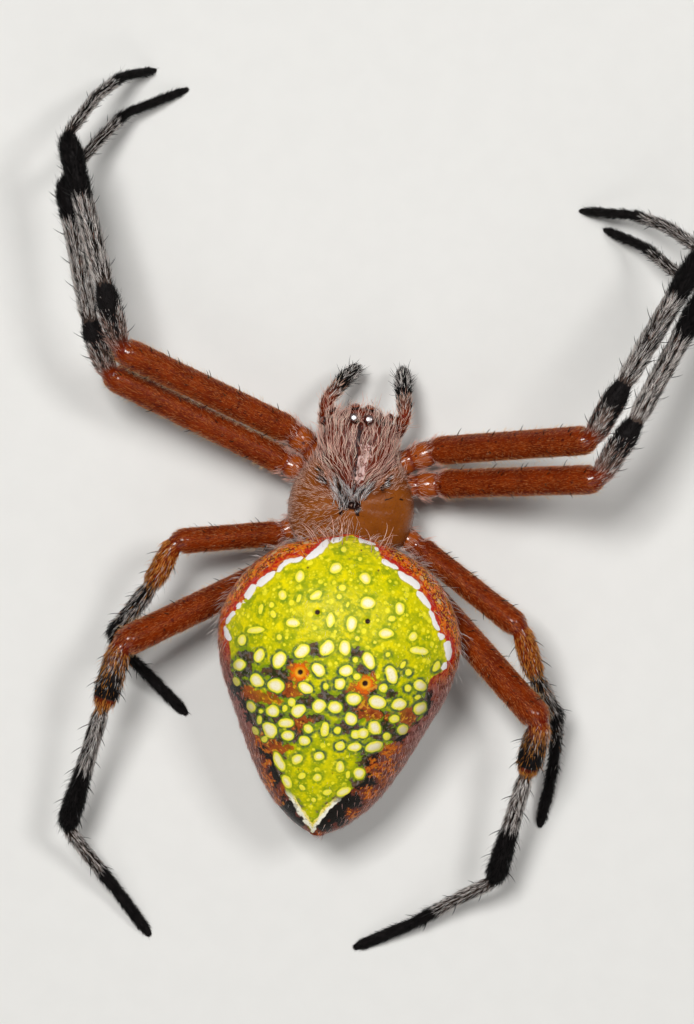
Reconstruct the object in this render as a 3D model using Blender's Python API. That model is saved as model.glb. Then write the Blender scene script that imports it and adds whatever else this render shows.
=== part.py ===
"""Large tropical orb-weaving spider at life size, a still model that stands on its eight feet.

The head points to +Y and +Z is up. Sizes are in millimetres and angles in degrees; the meshes are
made in metres. Places on the body are measured from the fovea, the pit on top of the thorax, and
heights from the floor. The origin of the model is on the floor below the middle of its box.
"""

import math

import bpy
import numpy as np

MM = 0.001
GAP = 0.25
EYE_GAP = 0.15
FOVEA = (-0.03, 1.14)
BODY = "spider"
SHARP_ANGLE = 50

# Carapace and sternum: distance ahead of the fovea, half width, heights of the top, of the widest
# line and of the underside.
THORAX_ROWS = (
    (-2.65, 0.55, 3.75, 3.40, 2.95),
    (-2.35, 1.50, 4.05, 3.30, 2.55),
    (-1.70, 2.40, 4.50, 3.20, 2.20),
    (-0.60, 2.72, 4.85, 3.15, 2.00),
    (0.40, 2.58, 4.95, 3.15, 2.00),
    (1.20, 2.18, 5.15, 3.35, 2.10),
    (1.90, 1.80, 5.30, 3.60, 2.50),
    (2.55, 1.66, 5.32, 4.05, 3.45),
    (3.15, 1.52, 5.17, 4.25, 3.65),
    (3.60, 1.02, 4.95, 4.33, 3.80),
    (3.80, 0.50, 4.72, 4.36, 4.02),
)
THORAX_BULGE = (2.3, 2.6)
THORAX_SIDES = 28
THORAX_STEPS = 2

# Abdomen: distance behind its front margin, half width, heights of the top, of the widest line
# and of the belly. It overhangs the rear of the carapace.
ABDOMEN_FRONT = (0.12, -1.57)
ABDOMEN_ROWS = (
    (0.00, 0.50, 6.85, 6.45, 6.00),
    (0.30, 1.85, 7.60, 6.35, 5.30),
    (1.00, 3.30, 8.35, 6.10, 4.45),
    (2.20, 4.45, 8.95, 5.75, 3.00),
    (4.00, 5.16, 9.20, 5.40, 1.80),
    (6.00, 4.90, 9.00, 5.15, 1.30),
    (8.00, 4.03, 8.30, 4.85, 1.15),
    (9.80, 3.16, 7.40, 4.65, 1.50),
    (11.20, 2.28, 6.60, 4.60, 2.30),
    (12.20, 1.25, 5.95, 4.70, 3.45),
    (12.70, 0.35, 5.35, 4.98, 4.55),
)
ABDOMEN_BULGE = (2.1, 1.65)
ABDOMEN_SIDES = 42
ABDOMEN_STEPS = 3

# Pedicel: the short stalk between both parts of the body, from inside the abdomen forwards.
PEDICEL_RADIUS = 0.42
PEDICEL_HEIGHT = 3.36
PEDICEL_ROOT = (0.10, -4.30, 3.75)
PEDICEL_LENGTH = 0.50

# Spinnerets: a low drum below the rear of the belly with three pairs of short cones.
SPINNERET_PLACE = (0.10, -11.55, 1.34)
SPINNERET_TILT = 22
SPINNERET_DRUM = (0.95, 0.42)
SPINNERET_PAIRS = ((0.40, 0.42, 0.34, 0.62), (0.22, -0.05, 0.24, 0.48), (0.38, -0.48, 0.32, 0.70))

SCAPE_ROOT = (0.10, -4.95, 2.10)
SCAPE_TIP = (0.10, -5.75, 1.12)
SCAPE_RADII = (0.42, 0.18)

# Chelicerae: middle and radii of the section at a few heights, then the folded fang.
CHELICERA_ROWS = (
    (3.30, 0.56, 3.22, 0.40, 0.42),
    (3.00, 0.57, 3.32, 0.44, 0.50),
    (2.30, 0.56, 3.32, 0.43, 0.47),
    (1.60, 0.52, 3.24, 0.37, 0.40),
    (1.15, 0.48, 3.18, 0.28, 0.30),
    (0.98, 0.46, 3.16, 0.15, 0.17),
)
FANG = ((0.52, 3.20, 1.42), (0.62, 2.92, 1.02), (0.42, 2.62, 0.98), (0.24, 2.52, 1.12))
FANG_RADII = (0.24, 0.20, 0.13, 0.06)

# Mouth parts: one endite on each side, which carries the palp, and the labium between them.
ENDITE = ((0.80, 1.55, 2.45), (1.22, 2.55, 2.52))
ENDITE_RADII = (0.50, 0.34)
LABIUM = ((0.00, 1.45, 2.35), (0.00, 2.32, 2.20))
LABIUM_RADII = (0.42, 0.26)

# Eyes: distance from the middle, place ahead of the fovea, height, the way that the eye looks,
# and its diameter.
EYES = {
    "eye_front_median": ((0.27, 3.72, 4.80), (0.20, 0.90, 0.40), 0.32),
    "eye_rear_median": ((0.27, 3.34, 5.14), (0.22, 0.30, 0.90), 0.35),
    "eye_front_lateral": ((1.15, 3.50, 4.24), (0.55, 0.85, 0.10), 0.27),
    "eye_rear_lateral": ((1.46, 3.13, 4.56), (0.85, 0.20, 0.50), 0.27),
}
EYE_SIDES = 10
MOUND_DEPTH = 0.40

SIDES = {"left": -1, "right": 1}

# Palps: joints from the endite to the tip. The knee carries the last two lengths.
PALPS = {
    "left": ((-1.50, 2.82, 2.56), (-1.56, 4.05, 3.00), (-1.10, 4.80, 2.55), (-0.45, 5.62, 1.50)),
    "right": ((1.50, 2.82, 2.56), (1.84, 3.72, 3.15), (1.70, 4.62, 2.80), (1.54, 5.74, 1.60)),
}
PALP_RADIUS = 0.31
PALP_SIDES = 8

# Legs: where the coxa ends, then length, heading and pitch of the femur with its trochanter,
# the patella, the tibia, both halves of the metatarsus, and the tarsus. The heading turns from
# +X towards +Y. The pitch of the tarsus follows from the height that is left above the floor.
LEGS = {
    "leg_1_left": ((-2.84, 2.55, 3.10),
                   ((8.54, 161, 19), (2.97, 109, 28), (6.75, 111, -11), (2.99, 65, -45), (2.49, 52, -53)),
                   (2.30, 23)),
    "leg_1_right": ((3.24, 2.43, 3.10),
                    ((8.24, 10, 38), (2.71, 67, 19), (7.26, 65, -22), (2.74, 146, -50), (2.56, 161, -55)),
                    (3.04, 179)),
    "leg_2_left": ((-3.00, 1.22, 2.80),
                   ((8.50, 160, 10), (2.51, 116, 26), (6.33, 107, -9), (2.56, 60, -39), (2.41, 56, -38)),
                   (3.15, 30)),
    "leg_2_right": ((3.65, 1.05, 2.90),
                    ((8.09, 8, 36), (2.82, 64, 12), (6.92, 67, -21), (2.34, 150, -47), (2.63, 141, -53)),
                    (2.63, 159)),
    "leg_3_left": ((-2.85, -1.80, 2.85),
                   ((4.83, -169, 21), (2.09, -112, -6), (3.45, -121, -31), (1.52, -41, -41),
                    (1.35, -40, -31)),
                   (2.40, -40)),
    "leg_3_right": ((3.00, -1.70, 2.85),
                    ((5.84, -32, 18), (2.15, -66, -11), (2.89, -58, -36), (1.57, -86, -35),
                     (1.55, -91, -27)),
                    (2.15, -96)),
    "leg_4_left": ((-2.75, -3.30, 2.15),
                   ((8.05, -148, 23), (2.71, -100, -4), (6.04, -101, -23), (1.82, -49, -30),
                    (2.02, -46, -23)),
                   (2.69, -49)),
    "leg_4_right": ((3.25, -3.30, 2.15),
                    ((8.39, -42, 23), (2.37, -98, -20), (5.35, -99, -22), (2.09, -145, -29),
                     (2.32, -143, -20)),
                    (2.83, -150)),
}
COXA_ROOTS = {1: (1.05, 1.30, 2.75), 2: (1.25, 0.55, 2.70), 3: (1.20, -0.65, 2.75), 4: (0.80, -1.65, 2.50)}
COXA_RADII = {1: 0.61, 2: 0.60, 3: 0.52, 4: 0.60}

# Largest radius of each segment of each pair of legs, and how the radius runs along a segment.
LEG_RADII = {
    1: {"femur": 0.61, "patella": 0.50, "tibia": 0.43, "metatarsus": 0.28, "tarsus": 0.27},
    2: {"femur": 0.61, "patella": 0.50, "tibia": 0.42, "metatarsus": 0.28, "tarsus": 0.27},
    3: {"femur": 0.54, "patella": 0.46, "tibia": 0.38, "metatarsus": 0.27, "tarsus": 0.27},
    4: {"femur": 0.64, "patella": 0.55, "tibia": 0.46, "metatarsus": 0.29, "tarsus": 0.28},
}
SEGMENT_SHAPES = {
    "femur": ((0.00, 0.74), (0.045, 0.86), (0.085, 0.74), (0.16, 0.90), (0.30, 0.98), (0.50, 1.00),
              (0.75, 0.99), (0.94, 0.95), (1.00, 0.76)),
    "patella": ((0.00, 0.72), (0.12, 0.90), (0.45, 1.00), (0.85, 0.96), (1.00, 0.74)),
    "tibia": ((0.00, 0.76), (0.06, 0.92), (0.25, 0.94), (0.60, 0.92), (0.85, 1.00), (0.96, 0.92),
              (1.00, 0.66)),
    "metatarsus": ((0.00, 0.92), (0.06, 1.00), (0.30, 0.98), (0.50, 0.96), (0.70, 0.96), (0.94, 0.96),
                   (1.00, 0.92)),
    "tarsus": ((0.00, 0.92), (0.10, 1.00), (0.50, 0.98), (0.82, 0.94), (0.95, 0.78), (1.00, 0.52)),
}
SEGMENT_SIDES = {"femur": 14, "patella": 14, "tibia": 12, "metatarsus": 10, "tarsus": 10}
SEGMENT_JOINTS = {"femur": (1, 2), "patella": (2, 3), "tibia": (3, 4), "metatarsus": (4, 6),
                  "tarsus": (6, 7)}
BEND_REACH = 0.50
BEND_STEPS = 8
FOOT_HEIGHT = 0.05

# Finish of each part: red, green and blue in linear light, and roughness.
FINISHES = {
    "head": ((0.30, 0.085, 0.035), 0.45),
    "abdomen": ((0.42, 0.50, 0.012), 0.40),
    "spinnerets": ((0.20, 0.07, 0.03), 0.50),
    "eyes": ((0.030, 0.006, 0.004), 0.10),
    "chelicerae": ((0.16, 0.035, 0.015), 0.35),
    "palp_arm": ((0.38, 0.085, 0.02), 0.40),
    "dark_hair": ((0.018, 0.015, 0.014), 0.70),
    "femur": ((0.40, 0.060, 0.012), 0.35),
    "patella": ((0.32, 0.055, 0.018), 0.40),
    "tibia": ((0.30, 0.27, 0.25), 0.65),
    "metatarsus": ((0.10, 0.09, 0.085), 0.65),
}


def make_object(name, points, faces, root):
    """Make a mesh object that hangs on the body's empty, with its own origin at its root."""
    mesh = bpy.data.meshes.new(name)
    mesh.from_pydata(((np.array(points) - root) * MM).tolist(), [], faces)
    mesh.update()
    made = bpy.data.objects.new(name, mesh)
    bpy.context.scene.collection.objects.link(made)
    made.parent = bpy.data.objects[BODY]
    made.location = tuple(root * MM)
    return made


def close_rings(name, rings):
    """Make one closed body from rings of equal count, with a fan over each end."""
    count = len(rings[0])
    points = [point for ring in rings for point in ring]
    faces = []
    for index in range(len(rings) - 1):
        low = index * count
        for side in range(count):
            after = (side + 1) % count
            faces.append((low + side, low + after, low + count + after, low + count + side))
    last = (len(rings) - 1) * count
    points.append(np.mean(rings[0], axis=0))
    points.append(np.mean(rings[-1], axis=0))
    for side in range(count):
        after = (side + 1) % count
        faces.append((len(points) - 2, after, side))
        faces.append((len(points) - 1, last + side, last + after))
    return make_object(name, points, faces, points[-2])


def unit(vector):
    """Return the vector at length one."""
    vector = np.array(vector, dtype=float)
    return vector / np.linalg.norm(vector)


def circle(centre, normal, radii, sides, up=(0, 0, 1)):
    """Return a ring of points round a centre, in the plane across the normal."""
    across = unit(np.cross(normal, up))
    above = unit(np.cross(across, normal))
    turns = np.arange(sides) * 2 * math.pi / sides
    return [np.array(centre) + across * radii[0] * math.cos(turn) - above * radii[1] * math.sin(turn)
            for turn in turns]


def taper(name, path, radii, sides, up=(0, 0, 1)):
    """Make a round tapering body along a short path of points."""
    places = np.array(path, dtype=float)
    ways = np.gradient(places, axis=0)
    rings = [circle(place, unit(way), (radius, radius), sides, up)
             for place, way, radius in zip(places, ways, radii)]
    return close_rings(name, rings)


def refine(rows, steps):
    """Put extra rows between the given ones, on a smooth curve through them."""
    rows = np.array(rows, dtype=float)
    ahead = np.vstack((rows[1:], 2 * rows[-1] - rows[-2]))
    behind = np.vstack((2 * rows[0] - rows[1], rows[:-1]))
    slopes = (ahead - behind) / 2
    smooth = []
    for index in range(len(rows) - 1):
        for step in range(steps):
            t = step / steps
            smooth.append(rows[index] * (1 + 2 * t) * (1 - t) ** 2 + slopes[index] * t * (1 - t) ** 2
                          + rows[index + 1] * t * t * (3 - 2 * t) - slopes[index + 1] * t * t * (1 - t))
    smooth.append(rows[-1])
    return smooth


def section(x, y, half_width, top, middle, bottom, bulge, sides):
    """Return an upright oval ring; bulge squares its upper and its lower half."""
    ring = []
    for side in range(sides):
        turn = 2 * math.pi * side / sides
        upper = math.sin(turn) >= 0
        power = 2 / (bulge[0] if upper else bulge[1])
        height = (top - middle) if upper else (middle - bottom)
        ring.append(np.array((
            x + half_width * math.copysign(abs(math.cos(turn)) ** power, math.cos(turn)),
            y,
            middle + height * math.copysign(abs(math.sin(turn)) ** power, math.sin(turn)))))
    return ring


def fuse(name, pieces):
    """Join closed pieces in one Boolean union and keep the largest closed surface."""
    base, *others = pieces
    group = bpy.data.collections.new(name + "_pieces")
    bpy.context.scene.collection.children.link(group)
    for piece in others:
        bpy.context.scene.collection.objects.unlink(piece)
        group.objects.link(piece)
    union = base.modifiers.new("union", "BOOLEAN")
    union.operation = "UNION"
    union.operand_type = "COLLECTION"
    union.collection = group
    union.solver = "EXACT"
    depsgraph = bpy.context.evaluated_depsgraph_get()
    joined = bpy.data.meshes.new_from_object(base.evaluated_get(depsgraph))
    base.modifiers.clear()
    base.data = joined
    base.name = name
    for piece in others:
        bpy.data.objects.remove(piece)
    bpy.data.collections.remove(group)
    keep_largest(joined)
    return base


def keep_largest(mesh):
    """Delete every closed surface of a mesh but the one with the most faces."""
    links = [set() for _ in mesh.vertices]
    for edge in mesh.edges:
        links[edge.vertices[0]].add(edge.vertices[1])
        links[edge.vertices[1]].add(edge.vertices[0])
    label = [-1] * len(links)
    count = 0
    for start in range(len(links)):
        if label[start] >= 0:
            continue
        label[start] = count
        stack = [start]
        while stack:
            for neighbour in links[stack.pop()]:
                if label[neighbour] < 0:
                    label[neighbour] = count
                    stack.append(neighbour)
        count += 1
    sizes = np.bincount([label[polygon.vertices[0]] for polygon in mesh.polygons], minlength=count)
    best = int(np.argmax(sizes))
    keep = [index for index, mark in enumerate(label) if mark == best]
    renumber = {old: new for new, old in enumerate(keep)}
    points = [tuple(mesh.vertices[index].co) for index in keep]
    faces = [[renumber[index] for index in polygon.vertices]
             for polygon in mesh.polygons if label[polygon.vertices[0]] == best]
    mesh.clear_geometry()
    mesh.from_pydata(points, [], faces)
    mesh.update()


def finish(made, key):
    """Give a node its own material and smooth shading."""
    colour, roughness = FINISHES[key]
    material = bpy.data.materials.new(made.name + "_finish")
    material.use_nodes = True
    shader = next(node for node in material.node_tree.nodes if node.type == "BSDF_PRINCIPLED")
    shader.inputs["Base Color"].default_value = (*colour, 1.0)
    shader.inputs["Roughness"].default_value = roughness
    shader.inputs["Metallic"].default_value = 0.0
    made.data.materials.clear()
    made.data.materials.append(material)
    made.data.shade_smooth()
    made.data.set_sharp_from_angle(angle=math.radians(SHARP_ANGLE))


def towards(heading, pitch):
    """Return the direction of a heading and a pitch."""
    heading, pitch = math.radians(heading), math.radians(pitch)
    return np.array((math.cos(heading) * math.cos(pitch), math.sin(heading) * math.cos(pitch),
                     math.sin(pitch)))


def leg_joints(name):
    """Return the joints of a leg, from the root of the coxa to the tip of the tarsus."""
    base, lengths, (tarsus_length, tarsus_heading) = LEGS[name]
    pair = int(name[4])
    root = np.array(COXA_ROOTS[pair]) * (SIDES[name[6:]], 1, 1)
    joints = [root, np.array(base)]
    for length, heading, pitch in lengths:
        joints.append(joints[-1] + length * towards(heading, pitch))
    drop = joints[-1][2] - FOOT_HEIGHT
    pitch = -math.degrees(math.asin(min(1.0, drop / tarsus_length)))
    joints.append(joints[-1] + tarsus_length * towards(tarsus_heading, pitch))
    return joints


def rounded_path(joints, reach):
    """Return points along a path that rounds each joint, and the index of each joint on it."""
    places = [joints[0]]
    marks = [0]
    for before, joint, after in zip(joints, joints[1:], joints[2:]):
        start = joint + unit(before - joint) * reach
        end = joint + unit(after - joint) * reach
        marks.append(len(places) + BEND_STEPS // 2)
        for step in range(BEND_STEPS + 1):
            t = step / BEND_STEPS
            places.append(start * (1 - t) ** 2 + joint * 2 * t * (1 - t) + end * t * t)
    places.append(joints[-1])
    marks.append(len(places) - 1)
    return np.array(places), marks


def segment_rings(places, first, last, shape, radius, sides, gap_after):
    """Return the rings of one segment between two marks on the path of its limb."""
    steps = np.diff(places, axis=0)
    ways = np.array([unit(step) for step in steps])
    ways = np.vstack((ways[:1], ways[:-1] + ways[1:], ways[-1:]))
    travel = np.concatenate(((0.0,), np.cumsum(np.linalg.norm(steps, axis=1))))
    start = travel[first] + GAP / 2
    end = travel[last] - (GAP / 2 if gap_after else 0.0)
    rings = []
    for fraction, scale in shape:
        at = start + (end - start) * fraction
        place = np.array([np.interp(at, travel, places[:, axis]) for axis in range(3)])
        way = np.array([np.interp(at, travel, ways[:, axis]) for axis in range(3)])
        if fraction == 0:
            way = ways[first]
        if fraction == 1 and gap_after:
            way = ways[last]
        rings.append(circle(place, unit(way), (radius * scale, radius * scale), sides))
    return rings


def build_leg(name):
    """Make the five nodes of one leg; each foot ends in a small flat on the floor."""
    pair = int(name[4])
    places, marks = rounded_path(leg_joints(name), BEND_REACH)
    for segment, (first, last) in SEGMENT_JOINTS.items():
        rings = segment_rings(places, marks[first], marks[last], SEGMENT_SHAPES[segment],
                              LEG_RADII[pair][segment], SEGMENT_SIDES[segment], segment != "tarsus")
        if segment == "tarsus":
            rings = [[np.array((x, y, max(z, 0.0))) for x, y, z in ring] for ring in rings]
        made = close_rings(name + "_" + segment, rings)
        finish(made, "dark_hair" if segment == "tarsus" else segment)


def coxa(name):
    """Make the coxa of one leg, from inside the thorax to the gap before the trochanter."""
    pair = int(name[4])
    places, marks = rounded_path(leg_joints(name)[:3], BEND_REACH)
    radius = COXA_RADII[pair]
    root, end = places[0], places[marks[1]]
    way = unit(places[marks[1] + 1] - places[marks[1] - 1])
    end = end - way * GAP / 2
    belly = root + (end - root) * 0.55
    shoulder = root + (end - root) * 0.85
    rings = [circle(root, unit(end - root), (radius * 0.8, radius * 0.8), 12),
             circle(belly, unit(end - root), (radius, radius), 12),
             circle(shoulder, unit(unit(end - root) + way), (radius * 0.98, radius * 0.98), 12),
             circle(end, way, (radius * 0.78, radius * 0.78), 12)]
    return close_rings(name + "_coxa", rings)


def build_thorax():
    """Make the cephalothorax with its coxae, endites, labium and the mounds of the eyes."""
    rings = [section(0.0, y, width, top, middle, bottom, THORAX_BULGE, THORAX_SIDES)
             for y, width, top, middle, bottom in refine(THORAX_ROWS, THORAX_STEPS)]
    rings.reverse()
    pieces = [close_rings("cephalothorax", rings)]
    pieces += [coxa(name) for name in LEGS]
    for side, sign in SIDES.items():
        path = [np.array(place) * (sign, 1, 1) for place in ENDITE]
        pieces.append(taper("endite_" + side, path, ENDITE_RADII, 10))
        for key, (place, way, diameter) in EYES.items():
            top = np.array(place) * (sign, 1, 1)
            way = unit(way) * (sign, 1, 1)
            radii = (diameter * 0.95, diameter * 0.62)
            pieces.append(taper(key + "_mound_" + side, (top - way * MOUND_DEPTH, top), radii, 10))
    pieces.append(taper("labium", LABIUM, LABIUM_RADII, 8))
    finish(fuse("cephalothorax", pieces), "head")


def build_eyes():
    """Make each eye as a dome over the flat top of its mound."""
    for side, sign in SIDES.items():
        for key, (place, way, diameter) in EYES.items():
            way = unit(way) * (sign, 1, 1)
            base = np.array(place) * (sign, 1, 1) + way * EYE_GAP
            radius = diameter / 2
            rings = []
            for lift in (-25, 0, 30, 60, 80):
                spread = radius * math.cos(math.radians(lift))
                height = radius * (math.sin(math.radians(lift)) + math.sin(math.radians(25)))
                rings.append(circle(base + way * height, way, (spread, spread), EYE_SIDES))
            finish(close_rings(key + "_" + side, rings), "eyes")


def build_chelicerae():
    """Make both chelicerae with their folded fangs."""
    for side, sign in SIDES.items():
        rings = [circle((sign * x, y, z), (0, 0, -1), (across, along), 14, (0, 1, 0))
                 for z, x, y, across, along in refine(CHELICERA_ROWS, 2)]
        body = close_rings("chelicera_" + side, rings)
        path = [np.array(place) * (sign, 1, 1) for place in FANG]
        fang = taper("fang_" + side, path, FANG_RADII, 8)
        finish(fuse("chelicera_" + side, [body, fang]), "chelicerae")


def build_palps():
    """Make each palp as an arm and a tarsus, parted at the knee's far joint."""
    arm = ((0.0, 0.85), (0.12, 0.96), (0.45, 1.00), (0.62, 1.02), (0.75, 1.02), (0.90, 0.96), (1.0, 0.85))
    tip = ((0.0, 0.86), (0.12, 0.98), (0.50, 0.96), (0.80, 0.86), (0.93, 0.60), (1.0, 0.30))
    for side, joints in PALPS.items():
        start = np.array(ENDITE[1]) * (SIDES[side], 1, 1)
        places, marks = rounded_path([start] + [np.array(joint) for joint in joints], 0.25)
        rings = segment_rings(places, marks[1], marks[3], arm, PALP_RADIUS, PALP_SIDES, True)
        finish(close_rings("palp_" + side + "_arm", rings), "palp_arm")
        rings = segment_rings(places, marks[3], marks[4], tip, PALP_RADIUS, PALP_SIDES, False)
        finish(close_rings("palp_" + side + "_tarsus", rings), "dark_hair")


def build_abdomen():
    """Make the abdomen with its pedicel and the scape below its front."""
    x, front = ABDOMEN_FRONT
    rings = [section(x, front - back, width, top, middle, bottom, ABDOMEN_BULGE, ABDOMEN_SIDES)
             for back, width, top, middle, bottom in refine(ABDOMEN_ROWS, ABDOMEN_STEPS)]
    body = close_rings("abdomen", rings)
    end = (0.0, THORAX_ROWS[0][0] - GAP, PEDICEL_HEIGHT)
    start = (0.0, end[1] - PEDICEL_LENGTH, PEDICEL_HEIGHT)
    pedicel = taper("pedicel", (PEDICEL_ROOT, start, end),
                    (PEDICEL_RADIUS * 1.6, PEDICEL_RADIUS * 1.1, PEDICEL_RADIUS), 12)
    scape = taper("scape", (SCAPE_ROOT, SCAPE_TIP), SCAPE_RADII, 8)
    finish(fuse("abdomen", [body, pedicel, scape]), "abdomen")


def build_spinnerets():
    """Make the spinneret group: a drum that faces the belly, and its cones."""
    place = np.array(SPINNERET_PLACE)
    tilt = math.radians(SPINNERET_TILT)
    down = np.array((0.0, -math.sin(tilt), -math.cos(tilt)))
    back = np.array((0.0, -math.cos(tilt), math.sin(tilt)))
    radius, height = SPINNERET_DRUM
    rings = [circle(place + down * height * depth, down, (radius * wide, radius * wide), 14, (0, 1, 0))
             for depth, wide in ((0.0, 0.92), (0.35, 1.0), (1.0, 0.80))]
    pieces = [close_rings("spinnerets", rings)]
    for across, behind, thick, long in SPINNERET_PAIRS:
        for sign in SIDES.values():
            root = place + down * height * 0.3 - back * behind + np.array((sign * across, 0, 0))
            end = root + unit(down + back * 0.15 * math.copysign(1, -behind)) * long
            middle = root + (end - root) * 0.7
            pieces.append(taper("spinneret", (root, middle, end), (thick, thick * 0.8, thick * 0.35), 8,
                                (0, 1, 0)))
    finish(fuse("spinnerets", pieces), "spinnerets")


def main():
    """Clear the scene and build the spider round an empty at its fovea."""
    for old in list(bpy.data.objects):
        bpy.data.objects.remove(old)
    body = bpy.data.objects.new(BODY, None)
    bpy.context.scene.collection.objects.link(body)
    body.location = (FOVEA[0] * MM, FOVEA[1] * MM, 0.0)
    build_thorax()
    build_eyes()
    build_chelicerae()
    build_palps()
    build_abdomen()
    build_spinnerets()
    for name in LEGS:
        build_leg(name)


main()
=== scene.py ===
"""Looks of a large tropical orb-weaving spider at life size, dressed over its solids.

The head points to +Y and +Z is up. Sizes are in millimetres and angles in degrees, measured from
the fovea, the pit on top of the thorax, with heights from the floor. Meshes are made in metres.
"""

import math

import bpy
import numpy as np
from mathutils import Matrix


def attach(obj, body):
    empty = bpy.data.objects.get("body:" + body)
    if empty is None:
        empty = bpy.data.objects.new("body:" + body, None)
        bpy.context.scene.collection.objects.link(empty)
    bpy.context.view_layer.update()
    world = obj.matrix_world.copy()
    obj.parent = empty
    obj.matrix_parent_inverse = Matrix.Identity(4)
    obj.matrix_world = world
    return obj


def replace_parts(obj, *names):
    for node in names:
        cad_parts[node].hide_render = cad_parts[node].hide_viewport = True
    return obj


bl_info = {
    "name": "Orb-weaving spider",
    "version": (1, 0, 0),
    "blender": (4, 5, 0),
    "location": "3D View > Sidebar > Spider",
    "description": "Builds the skin, coat, eyes, spines and stage of a still orb-weaving spider",
    "category": "Object",
}

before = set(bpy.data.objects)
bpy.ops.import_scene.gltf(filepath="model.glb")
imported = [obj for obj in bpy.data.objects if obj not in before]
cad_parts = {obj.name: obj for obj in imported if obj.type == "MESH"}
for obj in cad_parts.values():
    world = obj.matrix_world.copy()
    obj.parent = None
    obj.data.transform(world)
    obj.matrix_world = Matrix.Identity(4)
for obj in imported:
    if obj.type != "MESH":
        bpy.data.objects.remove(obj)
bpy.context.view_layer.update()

MM = 0.001
FOVEA = np.array((-0.03, 1.14, 0.0))
SIDES = {"left": -1, "right": 1}
BODY = "root"

# Carapace and sternum: distance ahead of the fovea, half width, heights of the top, of the widest
# line and of the underside.
THORAX_ROWS = (
    (-2.65, 0.55, 3.75, 3.4, 2.95),
    (-2.35, 1.5, 4.05, 3.3, 2.55),
    (-1.7, 2.4, 4.5, 3.2, 2.2),
    (-0.6, 2.72, 4.85, 3.15, 2.0),
    (0.4, 2.58, 4.95, 3.15, 2.0),
    (1.2, 2.18, 5.15, 3.35, 2.1),
    (1.9, 1.8, 5.3, 3.6, 2.5),
    (2.55, 1.66, 5.32, 4.05, 3.45),
    (3.15, 1.52, 5.17, 4.25, 3.65),
    (3.6, 1.02, 4.95, 4.33, 3.8),
    (3.8, 0.5, 4.72, 4.36, 4.02),
)
THORAX_BULGE = (2.3, 2.6)
CERVICAL_GROOVE = ((0.12, 0.1), (0.7, 0.62), (1.2, 1.15), (1.6, 1.75), (1.95, 2.3))
RADIAL_FURROWS = (22, -10, -48)

# Abdomen: distance behind its front margin, half width, heights of the top, of the widest line
# and of the belly.
ABDOMEN_FRONT = (0.12, -1.57)
ABDOMEN_ROWS = (
    (0.0, 0.5, 6.85, 6.45, 6.0),
    (0.3, 1.85, 7.6, 6.35, 5.3),
    (1.0, 3.3, 8.35, 6.1, 4.45),
    (2.2, 4.45, 8.95, 5.75, 3.0),
    (4.0, 5.16, 9.2, 5.4, 1.8),
    (6.0, 4.9, 9.0, 5.15, 1.3),
    (8.0, 4.03, 8.3, 4.85, 1.15),
    (9.8, 3.16, 7.4, 4.65, 1.5),
    (11.2, 2.28, 6.6, 4.6, 2.3),
    (12.2, 1.25, 5.95, 4.7, 3.45),
    (12.7, 0.35, 5.35, 4.98, 4.55),
)
ABDOMEN_BULGE = (2.1, 1.65)
PEDICEL = ((0.1, -4.6, 3.9), (0.06, -3.4, 3.36), (0.0, -2.9, 3.36), (0.0, -2.45, 3.36))
PEDICEL_RADII = (0.8, 0.46, 0.42, 0.44)
SCAPE = ((0.1, -4.8, 2.45), (0.1, -5.25, 1.75), (0.1, -5.7, 1.22))
SCAPE_RADII = (0.4, 0.26, 0.13)
SPINNERET_PLACE = (0.1, -11.55, 1.34)
SPINNERET_TILT = 22
SPINNERET_PAIRS = ((0.4, 0.42, 0.34, 0.62), (0.22, -0.05, 0.24, 0.48), (0.38, -0.48, 0.32, 0.7))

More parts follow.
